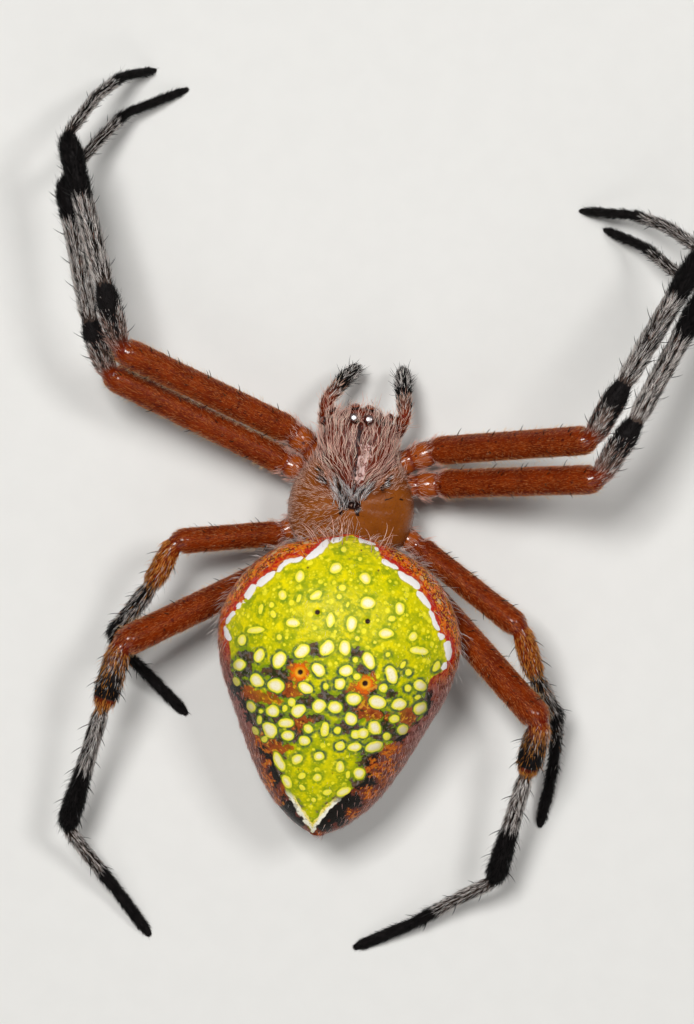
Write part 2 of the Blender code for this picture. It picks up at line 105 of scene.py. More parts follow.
# Marks on the back, from the middle of its front margin: across, behind, half length, half width
# and tilt of each cream spot, or the radius of a round one.
BACK_SPOTS = (
    (-0.25, 0.59, 0.14), (0.48, 0.91, 0.11), (-0.49, 1.4, 0.28, 0.2, 34),
    (-1.92, 1.91, 0.25, 0.19, 81), (0.77, 1.67, 0.27, 0.22, -34), (-0.12, 2.16, 0.13),
    (-1.17, 2.61, 0.3, 0.18, 34), (-1.87, 2.79, 0.18, 0.1, 76), (-2.55, 2.79, 0.21, 0.17, -74),
    (1.0, 2.68, 0.32, 0.25, 6), (0.18, 2.85, 0.14, 0.08, 86), (-0.2, 2.54, 0.1),
    (-3.39, 3.45, 0.24, 0.11, 81), (-2.98, 3.22, 0.1), (-2.85, 3.62, 0.17, 0.11, -64),
    (2.36, 2.75, 0.28, 0.21, -64), (-0.46, 3.57, 0.34, 0.18, 91), (0.44, 3.61, 0.32, 0.24, 86),
    (-2.0, 3.86, 0.31, 0.2, -2), (-3.51, 4.35, 0.37, 0.15, 14), (-2.49, 4.51, 0.13),
    (1.92, 3.86, 0.31, 0.2, 3), (2.07, 3.22, 0.14, 0.11, 6), (3.03, 3.84, 0.2, 0.17, 66),
    (-0.47, 4.73, 0.34, 0.27, 66), (0.28, 4.63, 0.32, 0.24, -74), (-1.5, 4.98, 0.35, 0.25, 41),
    (0.73, 4.19, 0.1), (1.47, 4.28, 0.08), (-2.37, 5.45, 0.37, 0.27, 66),
    (-3.24, 5.4, 0.31, 0.2, 81), (3.37, 4.43, 0.39, 0.17, -2), (1.33, 5.08, 0.38, 0.24, -59),
    (2.08, 4.72, 0.13), (0.74, 5.09, 0.13), (-0.73, 5.66, 0.31, 0.25, -39),
    (0.41, 5.59, 0.31, 0.24, 14), (2.32, 5.54, 0.38, 0.24, -59), (2.76, 5.07, 0.15, 0.08, 66),
    (3.01, 5.38, 0.13), (-3.24, 6.43, 0.32, 0.27, -44), (-2.42, 6.54, 0.34, 0.31, 6),
    (-1.16, 6.49, 0.32, 0.22, -14), (0.24, 6.14, 0.24), (-0.33, 6.32, 0.14),
    (0.89, 5.79, 0.14), (3.58, 5.87, 0.27, 0.22, -24), (2.05, 6.13, 0.2),
    (-4.04, 4.86, 0.24, 0.17, 86), (-4.04, 5.88, 0.25), (-4.11, 6.6, 0.21, 0.15, -54),
    (4.18, 5.02, 0.24, 0.14, 66), (0.88, 6.71, 0.3, 0.25, 6), (-0.52, 7.17, 0.3, 0.27, 46),
    (0.14, 7.16, 0.3, 0.27, 6), (-1.35, 7.49, 0.32, 0.25, 41), (-2.45, 7.65, 0.27, 0.25, 6),
    (1.85, 6.75, 0.38, 0.25, -9), (2.77, 6.75, 0.32, 0.24, 21), (3.69, 6.84, 0.31, 0.25, 26),
    (-3.36, 7.58, 0.25, 0.21, -54), (-1.68, 7.14, 0.17), (-1.95, 7.47, 0.17, 0.1, 86),
    (-2.92, 7.71, 0.1), (0.87, 7.57, 0.3, 0.25, -44), (-2.47, 8.45, 0.37, 0.27, -49),
    (-1.82, 8.08, 0.3, 0.2, 11), (-1.69, 8.58, 0.28, 0.22, 6), (-0.18, 8.15, 0.31, 0.17, 91),
    (-0.86, 8.2, 0.21, 0.18, 6), (0.36, 8.13, 0.14), (-0.99, 8.73, 0.25, 0.2, -14),
    (1.9, 7.83, 0.31, 0.25, -54), (2.65, 7.39, 0.2, 0.17, 6), (3.05, 7.82, 0.24),
    (1.1, 8.23, 0.18), (1.43, 8.14, 0.2), (-2.95, 8.11, 0.2, 0.11, 86),
    (-3.08, 8.57, 0.21, 0.13, -49), (1.15, 8.74, 0.28, 0.21, 16), (1.96, 8.65, 0.37, 0.24, 31),
    (0.54, 8.76, 0.21, 0.17, 36), (-1.93, 9.75, 0.44, 0.2, -59), (-1.19, 9.54, 0.27, 0.2, 46),
    (-0.29, 9.31, 0.2, 0.21, 6), (0.64, 9.65, 0.24, 0.18, 91), (1.46, 9.85, 0.25, 0.24, 6),
    (1.01, 9.99, 0.17, 0.11, 86), (-1.51, 10.58, 0.31, 0.2, -49), (-0.26, 10.21, 0.18),
    (-0.91, 10.25, 0.17, 0.13, 36), (-0.84, 10.73, 0.17, 0.11, -34), (0.24, 10.82, 0.2, 0.14, 31),
    (0.93, 10.71, 0.31, 0.18, 31), (-0.3, 11.2, 0.11), (2.43, 8.17, 0.14),
    (3.09, 6.04, 0.15), (3.53, 6.37, 0.14, 0.1, 16), (-2.65, 8.89, 0.11),
)
# Pits on the back: across, behind and radius.
BACK_PITS = (
    (-1.04, 3.29, 0.13), (1.09, 3.43, 0.13), (-1.47, 5.87, 0.13), (1.28, 6.03, 0.14),
    (-1.66, 1.48, 0.06), (1.31, 1.27, 0.06), (0.04, 0.91, 0.05), (0.5, 0.5, 0.05),
    (-1.14, 7.95, 0.07), (0.76, 7.97, 0.07), (0.36, 10.0, 0.05), (-1.1, 10.0, 0.05),
)
# Edge of the green field, from the front to the tail, and how far back its white border runs.
FIELD_EDGE = {
    "left": ((0.05, -0.05), (-0.34, 0.09), (-0.89, 0.33), (-1.34, 0.81), (-2.02, 1.23), (-2.58, 1.39),
             (-3.03, 1.91), (-3.43, 2.25), (-3.82, 2.62), (-4.22, 3.29), (-4.44, 3.64), (-4.7, 3.97),
             (-4.82, 4.24), (-4.71, 4.59), (-4.59, 4.94), (-4.45, 5.6), (-4.38, 6.18), (-3.94, 6.78),
             (-3.58, 7.46), (-3.14, 8.44), (-2.74, 9.06), (-2.26, 9.47), (-2.09, 10.01), (-1.78, 10.49),
             (-1.33, 11.25), (-0.86, 11.87), (-0.2, 12.66)),
    "right": ((0.05, -0.05), (0.39, 0.08), (0.76, 0.14), (1.15, 0.39), (1.49, 0.89), (2.1, 1.18),
              (2.42, 1.43), (2.85, 1.68), (3.15, 2.08), (3.48, 2.47), (3.75, 2.88), (3.95, 3.37),
              (4.29, 3.77), (4.5, 4.0), (4.6, 4.54), (4.49, 5.14), (3.98, 5.56), (3.92, 6.23),
              (3.98, 6.98), (3.3, 7.77), (2.62, 8.49), (2.19, 8.87), (1.68, 9.25), (1.78, 10.07),
              (1.22, 10.57), (0.74, 11.15), (0.26, 11.8), (-0.2, 12.66)),
}
BORDER_END = {"left": 4.95, "right": 5.15}
BORDER_BREAKS = {"left": ((3.1, 0.06), (3.62, 0.07)), "right": ((0.63, 0.2), (3.88, 0.08))}
BORDER_HALF = 0.19
BORDER_GAP = 0.035
BORDER_BEAD = 1.15
BORDER_SKEW = 0.1
TAIL_EDGE_START = 11.05
# Small yellow flecks of the field: scale, size and strength.
FIELD_FLECKS = ((2.0, 0.3, 1.0), (2.9, 0.27, 0.9), (5.0, 0.28, 0.5))
# Dark patches of the net and black wedges beside the tail: across, behind, half width, half length.
DARK_PATCHES = (
    (-0.95, 4.87, 0.28, 0.25), (0.78, 4.81, 0.28, 0.24), (1.21, 5.45, 0.31, 0.25), (-2.6, 5.97, 0.42, 0.21),
    (-2.22, 6.07, 0.35, 0.28), (-3.81, 5.56, 0.28, 0.35), (-3.91, 6.01, 0.42, 0.42), (-4.02, 6.77, 0.42, 0.42),
    (-2.04, 5.47, 0.28, 0.17), (-2.18, 6.82, 0.42, 0.21), (-1.91, 6.57, 0.21, 0.42), (-0.99, 7.07, 0.49, 0.21),
    (-0.63, 7.73, 0.42, 0.17), (-0.3, 6.81, 0.28, 0.28), (0.44, 6.94, 0.35, 0.42), (1.12, 7.2, 0.35, 0.35),
    (1.92, 7.22, 0.42, 0.18), (0.77, 7.93, 0.42, 0.25), (1.49, 6.32, 0.35, 0.21), (2.39, 6.3, 0.21, 0.21),
    (3.97, 6.6, 0.21, 0.49), (3.38, 7.24, 0.28, 0.35), (2.34, 7.7, 0.28, 0.42), (2.82, 8.03, 0.42, 0.35),
    (2.18, 8.16, 0.35, 0.21), (-3.51, 7.38, 0.35, 0.35), (-3.16, 7.85, 0.42, 0.49), (-2.83, 8.24, 0.35, 0.56),
    (-2.21, 7.86, 0.28, 0.28), (-1.32, 7.96, 0.42, 0.35), (-1.35, 8.41, 0.28, 0.35), (-2.24, 8.9, 0.56, 0.21),
    (-2.51, 9.17, 0.35, 0.42), (-2.38, 9.67, 0.28, 0.42), (-2.1, 10.31, 0.35, 0.63), (-1.43, 11.74, 0.49, 0.49),
    (-1.01, 12.21, 0.49, 0.28), (-2.0, 9.84, 0.28, 0.63), (1.87, 9.31, 0.42, 0.42), (1.75, 10.14, 0.49, 0.49),
    (1.21, 11.18, 0.56, 0.42), (0.7, 11.76, 0.56, 0.49), (0.24, 12.27, 0.42, 0.28),
)
ORANGE_PATCHES = (
    (-1.47, 5.87, 0.44, 0.42), (1.28, 6.05, 0.44, 0.46), (-1.75, 6.69, 0.42, 0.28), (-2.95, 7.11, 0.77, 0.24),
    (-3.55, 7.01, 0.28, 0.28), (-1.18, 7.98, 0.35, 0.31), (0.95, 6.3, 0.35, 0.21), (1.64, 7.29, 0.56, 0.24),
    (1.31, 6.92, 0.21, 0.28), (2.48, 7.39, 0.28, 0.17), (3.16, 7.26, 0.35, 0.35), (-2.21, 9.2, 0.42, 0.28),
    (-2.61, 8.96, 0.42, 0.28), (-2.51, 9.92, 0.21, 0.35), (-2.43, 10.69, 0.35, 0.49), (-1.78, 11.58, 0.21, 0.24),
    (2.2, 9.58, 0.49, 0.42), (2.62, 9.47, 0.35, 0.35), (1.96, 10.66, 0.35, 0.28), (1.41, 11.63, 0.28, 0.28),
    (2.68, 8.71, 0.42, 0.28), (-1.64, 9.11, 0.21, 0.14),
)

# Chelicerae: height, place across and ahead, and both radii of the section.
CHELICERA_ROWS = (
    (3.6, 0.52, 3.1, 0.3, 0.36),
    (3.3, 0.56, 3.22, 0.4, 0.42),
    (3.0, 0.57, 3.32, 0.43, 0.49),
    (2.3, 0.56, 3.32, 0.42, 0.46),
    (1.6, 0.52, 3.24, 0.36, 0.39),
    (1.15, 0.48, 3.18, 0.27, 0.29),
    (0.98, 0.46, 3.16, 0.14, 0.16),
)
FANG = ((0.52, 3.2, 1.42), (0.6, 2.98, 1.1), (0.46, 2.68, 0.98), (0.24, 2.52, 1.12))
FANG_RADII = (0.2, 0.15, 0.09, 0.02)
ENDITE = ((0.8, 1.55, 2.45), (1.05, 2.1, 2.42), (1.22, 2.55, 2.52), (1.24, 2.78, 2.55))
ENDITE_RADII = (0.46, 0.42, 0.33, 0.2)
LABIUM = ((0.0, 1.45, 2.35), (0.0, 1.95, 2.22), (0.0, 2.3, 2.22))
LABIUM_RADII = (0.42, 0.34, 0.18)

# Eyes: distance from the middle, place ahead of the fovea, height, the way the eye looks, diameter.
EYES = {
    "eye_front_median": ((0.27, 3.72, 4.8), (0.2, 0.9, 0.4), 0.32),
    "eye_rear_median": ((0.27, 3.34, 5.14), (0.22, 0.3, 0.9), 0.35),
    "eye_front_lateral": ((1.15, 3.5, 4.24), (0.55, 0.85, 0.1), 0.27),
    "eye_rear_lateral": ((1.46, 3.13, 4.56), (0.85, 0.2, 0.5), 0.27),
}
EYE_GAP = 0.15
EYE_DEPTH = 25
EYE_FLATNESS = 0.58
EYE_BULGE = 3.2
EYE_UP = (0.1, 0.3, 0.2)

# Palps: joints from the endite to the tip.
PALPS = {
    "left": ((-1.5, 2.82, 2.56), (-1.56, 4.05, 3.0), (-1.1, 4.8, 2.55), (-0.45, 5.62, 1.5)),
    "right": ((1.5, 2.82, 2.56), (1.84, 3.72, 3.15), (1.7, 4.62, 2.8), (1.54, 5.74, 1.6)),
}
PALP_ROOT = (1.22, 2.55, 2.52)
PALP_RADIUS = 0.31
PALP_BEND = 0.25

# Legs: where the coxa ends, then length, heading and pitch of the femur with its trochanter, the
# patella, the tibia, both halves of the metatarsus, and the tarsus, which reaches the floor.
LEGS = {
    "leg_1_left": ((-2.84, 2.55, 3.1),
                   ((8.54, 161, 19), (2.97, 109, 28), (6.75, 111, -11), (2.99, 65, -45), (2.49, 52, -53)),
                   (2.3, 23)),
    "leg_1_right": ((3.24, 2.43, 3.1),
                    ((8.24, 10, 38), (2.71, 67, 19), (7.26, 65, -22), (2.74, 146, -50), (2.56, 161, -55)),
                    (3.04, 179)),
    "leg_2_left": ((-3.0, 1.22, 2.8),
                   ((8.5, 160, 10), (2.51, 116, 26), (6.33, 107, -9), (2.56, 60, -39), (2.41, 56, -38)),
                   (3.15, 30)),
    "leg_2_right": ((3.65, 1.05, 2.9),
                    ((8.09, 8, 36), (2.82, 64, 12), (6.92, 67, -21), (2.34, 150, -47), (2.63, 141, -53)),
                    (2.63, 159)),
    "leg_3_left": ((-2.85, -1.8, 2.85),
                   ((4.83, -169, 21), (2.09, -112, -6), (3.45, -121, -31), (1.52, -41, -41),
                    (1.35, -40, -31)),
                   (2.4, -40)),
    "leg_3_right": ((3.0, -1.7, 2.85),
                    ((5.84, -32, 18), (2.15, -66, -11), (2.89, -58, -36), (1.57, -86, -35),
                     (1.55, -91, -27)),
                    (2.15, -96)),
    "leg_4_left": ((-2.75, -3.3, 2.15),
                   ((8.05, -148, 23), (2.71, -100, -4), (6.04, -101, -23), (1.82, -49, -30),
                    (2.02, -46, -23)),
                   (2.69, -49)),
    "leg_4_right": ((3.25, -3.3, 2.15),
                    ((8.39, -42, 23), (2.37, -98, -20), (5.35, -99, -22), (2.09, -145, -29),
                     (2.32, -143, -20)),
                    (2.83, -150)),
}
COXA_ROOTS = {1: (1.05, 1.3, 2.75), 2: (1.25, 0.55, 2.7), 3: (1.2, -0.65, 2.75), 4: (0.8, -1.65, 2.5)}
LEG_RADII = {
    1: {"coxa": 0.61, "femur": 0.61, "patella": 0.5, "tibia": 0.43, "metatarsus": 0.28, "tarsus": 0.27},
    2: {"coxa": 0.6, "femur": 0.61, "patella": 0.5, "tibia": 0.42, "metatarsus": 0.28, "tarsus": 0.27},
    3: {"coxa": 0.52, "femur": 0.54, "patella": 0.46, "tibia": 0.38, "metatarsus": 0.27, "tarsus": 0.27},
    4: {"coxa": 0.6, "femur": 0.64, "patella": 0.55, "tibia": 0.46, "metatarsus": 0.29, "tarsus": 0.28},
}
SEGMENT_JOINTS = {"coxa": (0, 1), "femur": (1, 2), "patella": (2, 3), "tibia": (3, 4),
                  "metatarsus": (4, 6), "tarsus": (6, 7)}
SEGMENT_SHAPES = {
    "coxa": ((0.0, 0.8), (0.4, 0.96), (0.54, 0.94), (0.6, 0.8), (0.68, 0.92), (0.85, 0.98), (1.0, 0.9)),
    "femur": ((0.0, 0.8), (0.02, 0.95), (0.05, 1.01), (0.16, 1.0), (0.5, 1.0), (0.75, 1.0), (0.93, 1.02),
              (0.975, 0.99), (1.0, 0.88)),
    "patella": ((0.0, 0.82), (0.1, 0.95), (0.45, 1.02), (0.85, 1.0), (1.0, 0.84)),
    "tibia": ((0.0, 0.84), (0.06, 0.95), (0.25, 0.95), (0.6, 0.97), (0.85, 1.12), (0.95, 1.08),
              (1.0, 0.8)),
    "tibia of 4": ((0.0, 0.64), (0.06, 0.72), (0.25, 0.72), (0.52, 0.78), (0.8, 0.98), (0.95, 1.0),
                   (1.0, 0.76)),
    "metatarsus": ((0.0, 0.86), (0.06, 1.0), (0.3, 0.96), (0.6, 0.92), (0.94, 0.94), (1.0, 0.86)),
    "tarsus": ((0.0, 0.86), (0.1, 0.98), (0.5, 0.96), (0.8, 0.88), (0.92, 0.74), (1.0, 0.46)),
}
COAT_DEPTH = {"coxa": 0.03, "femur": 0.02, "patella": 0.03, "tibia": 0.04, "metatarsus": 0.06, "tarsus": 0.09}
REAR_COAT_DEPTH = {**COAT_DEPTH, "metatarsus": 0.04, "tarsus": 0.05}
TROCHANTER_PART = 0.6
JOINT_WIDTH = 0.09
JOINT_DIP = 0.93
STREAK_STRENGTH = 1.7
STREAK_LENGTH = 8.0
BEND_REACH = 0.5
BEND_STEPS = 8
FOOT_HEIGHT = 0.05

# Colour bands along the legs: segment, place along it, and the shares of pale and of black.
LEG_BANDS = {
    1: (("femur", 0.97, 0.0, 0.03), ("patella", 0.08, 0.1, 0.12), ("patella", 0.24, 0.34, 0.34),
        ("patella", 0.5, 0.34, 0.5), ("patella", 0.66, 0.18, 0.78), ("patella", 0.76, 0.02, 0.98),
        ("patella", 1.0, 0.0, 1.0), ("tibia", 0.02, 0.86, 0.12), ("tibia", 0.3, 0.78, 0.2),
        ("tibia", 0.6, 0.74, 0.24), ("tibia", 0.64, 0.0, 1.0), ("tibia", 1.0, 0.0, 1.0),
        ("metatarsus", 0.04, 0.56, 0.44), ("metatarsus", 0.78, 0.56, 0.44), ("metatarsus", 0.86, 0.0, 1.0),
        ("tarsus", 0.0, 0.0, 1.0), ("tarsus", 1.0, 0.0, 1.0)),
    3: (("femur", 0.96, 0.0, 0.05), ("patella", 0.1, 0.06, 0.06), ("patella", 0.9, 0.1, 0.2),
        ("tibia", 0.05, 0.45, 0.5), ("tibia", 0.55, 0.36, 0.6), ("tibia", 0.8, 0.05, 0.95),
        ("metatarsus", 0.05, 0.3, 0.68), ("metatarsus", 0.45, 0.02, 0.98), ("tarsus", 0.0, 0.0, 1.0),
        ("tarsus", 1.0, 0.0, 1.0)),
    4: (("femur", 0.96, 0.0, 0.06), ("patella", 0.1, 0.14, 0.2), ("patella", 0.4, 0.14, 0.52),
        ("patella", 0.66, 0.08, 0.78), ("patella", 0.84, 0.02, 0.86), ("patella", 0.9, 0.02, 0.16),
        ("patella", 1.0, 0.05, 0.12), ("tibia", 0.03, 0.86, 0.14), ("tibia", 0.48, 0.76, 0.24),
        ("tibia", 0.53, 0.0, 1.0), ("tibia", 1.0, 0.0, 1.0), ("metatarsus", 0.04, 0.8, 0.2),
        ("metatarsus", 0.64, 0.68, 0.32), ("metatarsus", 0.71, 0.0, 1.0), ("tarsus", 0.0, 0.0, 1.0),
        ("tarsus", 1.0, 0.0, 1.0)),
}
LEG_BANDS[2] = LEG_BANDS[1]
# How much later the black end of the tibia starts on some legs, as a share of the tibia.
BAND_SHIFTS = {"leg_1_left": -0.06, "leg_2_left": 0.08}

# Coat of the legs: hairs on each square millimetre, their length, half thickness and lift.
LEG_COAT = {
    "coxa": (30, 0.36, 0.008, 28), "femur": (290, 0.25, 0.0062, 15), "patella": (180, 0.36, 0.009, 17),
    "tibia": (290, 0.46, 0.0095, 13), "metatarsus": (300, 0.36, 0.0095, 16), "tarsus": (330, 0.3, 0.0105, 17),
}
VELVET_SHORTER = 0.36
VELVET_STEEPER = 1.3
LEG_FUZZ = {"femur": (46, 0.3, 0.005, 56), "patella": (16, 0.42, 0.005, 52), "tibia": (26, 0.52, 0.006, 44),
            "metatarsus": (20, 0.42, 0.0055, 44), "tarsus": (14, 0.28, 0.0055, 44)}
TUFT_DENSITY = 170
BARE_LINES = (40, 105, 128)
# Black lines along the pale parts: their places round the segment and their half width, in degrees.
BLACK_LINES = {"tibia": ((36, 84, 131), 7), "metatarsus": ((58, 92, 126), 9)}
LOWER_THINNER = 0.55
FEMUR_LIT = 0.3
# Spines: rows round the segment from its front side, each with its step, then length and lift.
LEG_SPINES = {
    "femur": (((10, 1.9), (42, 1.5), (68, 2.3), (112, 3.1), (150, 2.7)), 0.42, 56),
    "patella": (((10, 1.0), (85, 1.5), (170, 1.1)), 0.58, 56),
    "tibia": (((0, 1.3), (60, 1.9), (120, 1.9), (180, 1.3), (270, 1.6)), 0.62, 54),
    "metatarsus": (((5, 1.4), (95, 1.8), (180, 1.5), (270, 1.6)), 0.48, 46),
}
# Stage, in metres: half width of the floor; name, place, size and power of each light.
FLOOR_HALF = 0.6
LIGHTS = (("key_light", (-0.055, 0.055, 0.27), 0.07, 0.54), ("second_light", (0.1, 0.06, 0.25), 0.06, 0.2),
          ("fill_light", (0.02, -0.19, 0.23), 0.2, 0.13))


def unit(vectors):
    """Return vectors at length one, along the last axis."""
    vectors = np.asarray(vectors, dtype=float)
    return vectors / np.maximum(np.linalg.norm(vectors, axis=-1, keepdims=True), 1e-12)


def ease(low, high, value):
    """Return a smooth step from 0 at low to 1 at high."""
    t = np.clip((np.asarray(value, dtype=float) - low) / (high - low), 0.0, 1.0)
    return t * t * (3 - 2 * t)


def bell(gap, width, power=2):
    """Return 1 where a gap is 0, falling off over a width."""
    return np.exp(-(gap / width) ** power)


def oval(x, y, place, half, power=1.0):
    """Return a soft oval mound of height 1 at a place."""
    return np.exp(-(((x - place[0]) / half[0]) ** 2 + ((y - place[1]) / half[1]) ** 2) ** power)


def distance_to(x, y, start, end):
    """Return the distance of points from a straight line between two others, seen from above."""
    dx, dy = end[0] - start[0], end[1] - start[1]
    t = np.clip(((x - start[0]) * dx + (y - start[1]) * dy) / (dx * dx + dy * dy), 0, 1)
    return np.hypot(x - start[0] - t * dx, y - start[1] - t * dy)


def ridge(x, y, start, end, width, power=2):
    """Return a soft ridge of height 1 along a straight line."""
    return bell(distance_to(x, y, start, end), width, power)


def vectors(x, y, z):
    """Join three fields or numbers into one field of vectors."""
    return np.stack(np.broadcast_arrays(x, y, z), axis=-1)


def circle(sides):
    """Return angles evenly round a circle."""
    return np.arange(sides) * 2 * math.pi / sides


def refine(rows, steps):
    """Put extra rows between the given ones, on a smooth curve through them."""
    rows = np.array(rows, dtype=float)
    ahead = np.vstack((rows[1:], 2 * rows[-1] - rows[-2]))
    behind = np.vstack((2 * rows[0] - rows[1], rows[:-1]))
    slopes = (ahead - behind) / 2
    smooth = []
    for index in range(len(rows) - 1):
        for step in range(steps):
            t = step / steps
            smooth.append(rows[index] * (1 + 2 * t) * (1 - t) ** 2 + slopes[index] * t * (1 - t) ** 2
                          + rows[index + 1] * t * t * (3 - 2 * t) - slopes[index + 1] * t * t * (1 - t))
    smooth.append(rows[-1])
    return np.array(smooth)


def section(x, y, half_width, top, middle, bottom, bulge, turns):
    """Return an upright oval ring; bulge squares its upper and its lower half."""
    cosine, sine = np.cos(turns), np.sin(turns)
    upper = sine >= 0
    power = np.where(upper, 2 / bulge[0], 2 / bulge[1])
    height = np.where(upper, top - middle, middle - bottom)
    return vectors(x + half_width * np.sign(cosine) * np.abs(cosine) ** power, y,
                   middle + height * np.sign(sine) * np.abs(sine) ** power)


def rings_along(places, ways, radii, sides, up=(0.0, 0.0, 1.0)):
    """Return round rings across a path; the ring starts at one side and passes over the top."""
    across = unit(np.cross(ways, up))
    above = unit(np.cross(across, ways))
    turns = circle(sides)[:, None]
    radii = np.broadcast_to(np.asarray(radii, dtype=float), (len(places),))[:, None, None]
    return places[:, None] + radii * (across[:, None] * np.cos(turns) + above[:, None] * np.sin(turns))


def round_ends(rings, reach, steps=7, ends=(True, True)):
    """Close a stack of rings with a dome over each chosen end."""
    stack = [rings]
    for at_end, chosen in zip((False, True), ends):
        if not chosen:
            continue
        last, before = (rings[-1], rings[-2]) if at_end else (rings[0], rings[1])
        centre = last.mean(axis=0)
        way = unit(centre - before.mean(axis=0))
        dome = []
        for step in range(1, steps + 1):
            turn = step / steps * math.pi / 2 * 0.97
            dome.append(centre + (last - centre) * math.cos(turn) + way * reach * math.sin(turn))
        stack = stack + [np.array(dome)] if at_end else [np.array(dome[::-1])] + stack
    return np.concatenate(stack)


class Shell:
    """A closed tube of rings in millimetres, with marks that run over its surface."""

    def __init__(self, rings):
        self.points = np.asarray(rings, dtype=float)
        self.marks = {}
        self.comb = None
        self.settle()

    def settle(self):
        """Work out the ways along and round the shell and its outward normals."""
        self.along = np.gradient(self.points, axis=0)
        around = (np.roll(self.points, -1, axis=1) - np.roll(self.points, 1, axis=1)) / 2
        normals = np.cross(around, self.along)
        self.area = np.linalg.norm(normals, axis=-1)
        outward = self.points - self.points.mean(axis=1, keepdims=True)
        self.sign = 1.0 if np.sum(normals * outward) > 0 else -1.0
        self.normals = unit(normals) * self.sign

    def push(self, amount):
        """Move the surface outwards by an amount at each point."""
        self.points = self.points + self.normals * amount[..., None]
        self.settle()

    def mark(self, **fields):
        """Keep one number for each point of the shell under each name."""
        for name, values in fields.items():
            self.marks[name] = np.broadcast_to(np.asarray(values, dtype=float), self.points.shape[:2])

    def at(self, field, row, col):
        """Read a field between the points of the shell."""
        rows, cols = self.points.shape[:2]
        low = np.clip(row.astype(int), 0, rows - 2)
        left = col.astype(int) % cols
        right = (left + 1) % cols
        u, v = row - low, col - np.floor(col)
        if field.ndim == 3:
            u, v = u[:, None], v[:, None]
        return ((field[low, left] * (1 - v) + field[low, right] * v) * (1 - u)
                + (field[low + 1, left] * (1 - v) + field[low + 1, right] * v) * u)


def metres(points):
    """Turn places from the fovea in millimetres into the frame's metres."""
    return (points + FOVEA) * MM


def fill_mesh(mesh, points, quads, tris):
    """Fill a mesh from arrays of points, four-sided and three-sided faces."""
    quads = np.asarray(quads, dtype=np.int32).reshape(-1, 4)
    tris = np.asarray(tris, dtype=np.int32).reshape(-1, 3)
    corners = np.concatenate((quads.ravel(), tris.ravel()))
    starts = np.concatenate((np.arange(len(quads)) * 4, len(quads) * 4 + np.arange(len(tris)) * 3))
    mesh.vertices.add(len(points))
    mesh.vertices.foreach_set("co", np.asarray(points, dtype=np.float32).ravel())
    mesh.loops.add(len(corners))
    mesh.loops.foreach_set("vertex_index", corners.astype(np.int32))
    mesh.polygons.add(len(starts))
    mesh.polygons.foreach_set("loop_start", starts.astype(np.int32))
    mesh.update(calc_edges=True)
    mesh.validate()
    mesh.shade_smooth()
    return corners


def add_object(name, data):
    """Put a new object into the scene."""
    made = bpy.data.objects.new(name, data)
    bpy.context.scene.collection.objects.link(made)
    return made


def add_piece(name, mesh, material):
    """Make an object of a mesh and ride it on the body."""
    made = add_object(name, mesh)
    mesh.materials.append(material)
    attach(made, BODY)
    return made


def add_values(mesh, name, values):
    """Give a mesh one number for each point."""
    layer = mesh.attributes.new(name, "FLOAT", "POINT")
    layer.data.foreach_set("value", np.concatenate(values).astype(np.float32))


def skin_piece(name, shells, material):
    """Make one smooth piece of one or more shells, with their marks as attributes."""
    points, quads, tris = [], [], []
    marks = {key: [] for shell in shells for key in shell.marks}
    base = 0
    for shell in shells:
        rows, cols = shell.points.shape[:2]
        index = base + np.arange(rows * cols).reshape(rows, cols)
        after = np.roll(index, -1, axis=1)
        tips = base + rows * cols
        faces = np.stack((index[:-1], after[:-1], after[1:], index[1:]), axis=-1).reshape(-1, 4)
        caps = np.concatenate((np.stack((np.full(cols, tips), after[0], index[0]), axis=-1),
                               np.stack((np.full(cols, tips + 1), index[-1], after[-1]), axis=-1)))
        if shell.sign < 0:
            faces, caps = faces[:, ::-1], caps[:, ::-1]
        quads.append(faces)
        tris.append(caps)
        points += [shell.points.reshape(-1, 3), shell.points[[0, -1]].mean(axis=1)]
        for key, values in marks.items():
            field = shell.marks.get(key, np.zeros((rows, cols)))
            values += [field.ravel(), field[[0, -1]].mean(axis=1)]
        base = tips + 2
    mesh = bpy.data.meshes.new(name)
    fill_mesh(mesh, metres(np.concatenate(points)), np.concatenate(quads), np.concatenate(tris))
    for key, values in marks.items():
        add_values(mesh, key, values)
    return add_piece(name, mesh, material)


def ring_piece(name, rings, material):
    """Make a closed ring-shaped piece of rings that join end to end."""
    rows, cols = rings.shape[:2]
    index = np.arange(rows * cols).reshape(rows, cols)
    after = np.roll(index, -1, axis=1)
    quads = np.stack((index, after, np.roll(after, -1, axis=0), np.roll(index, -1, axis=0)), axis=-1)
    mesh = bpy.data.meshes.new(name)
    fill_mesh(mesh, metres(rings.reshape(-1, 3)), quads, ())
    return add_piece(name, mesh, material)


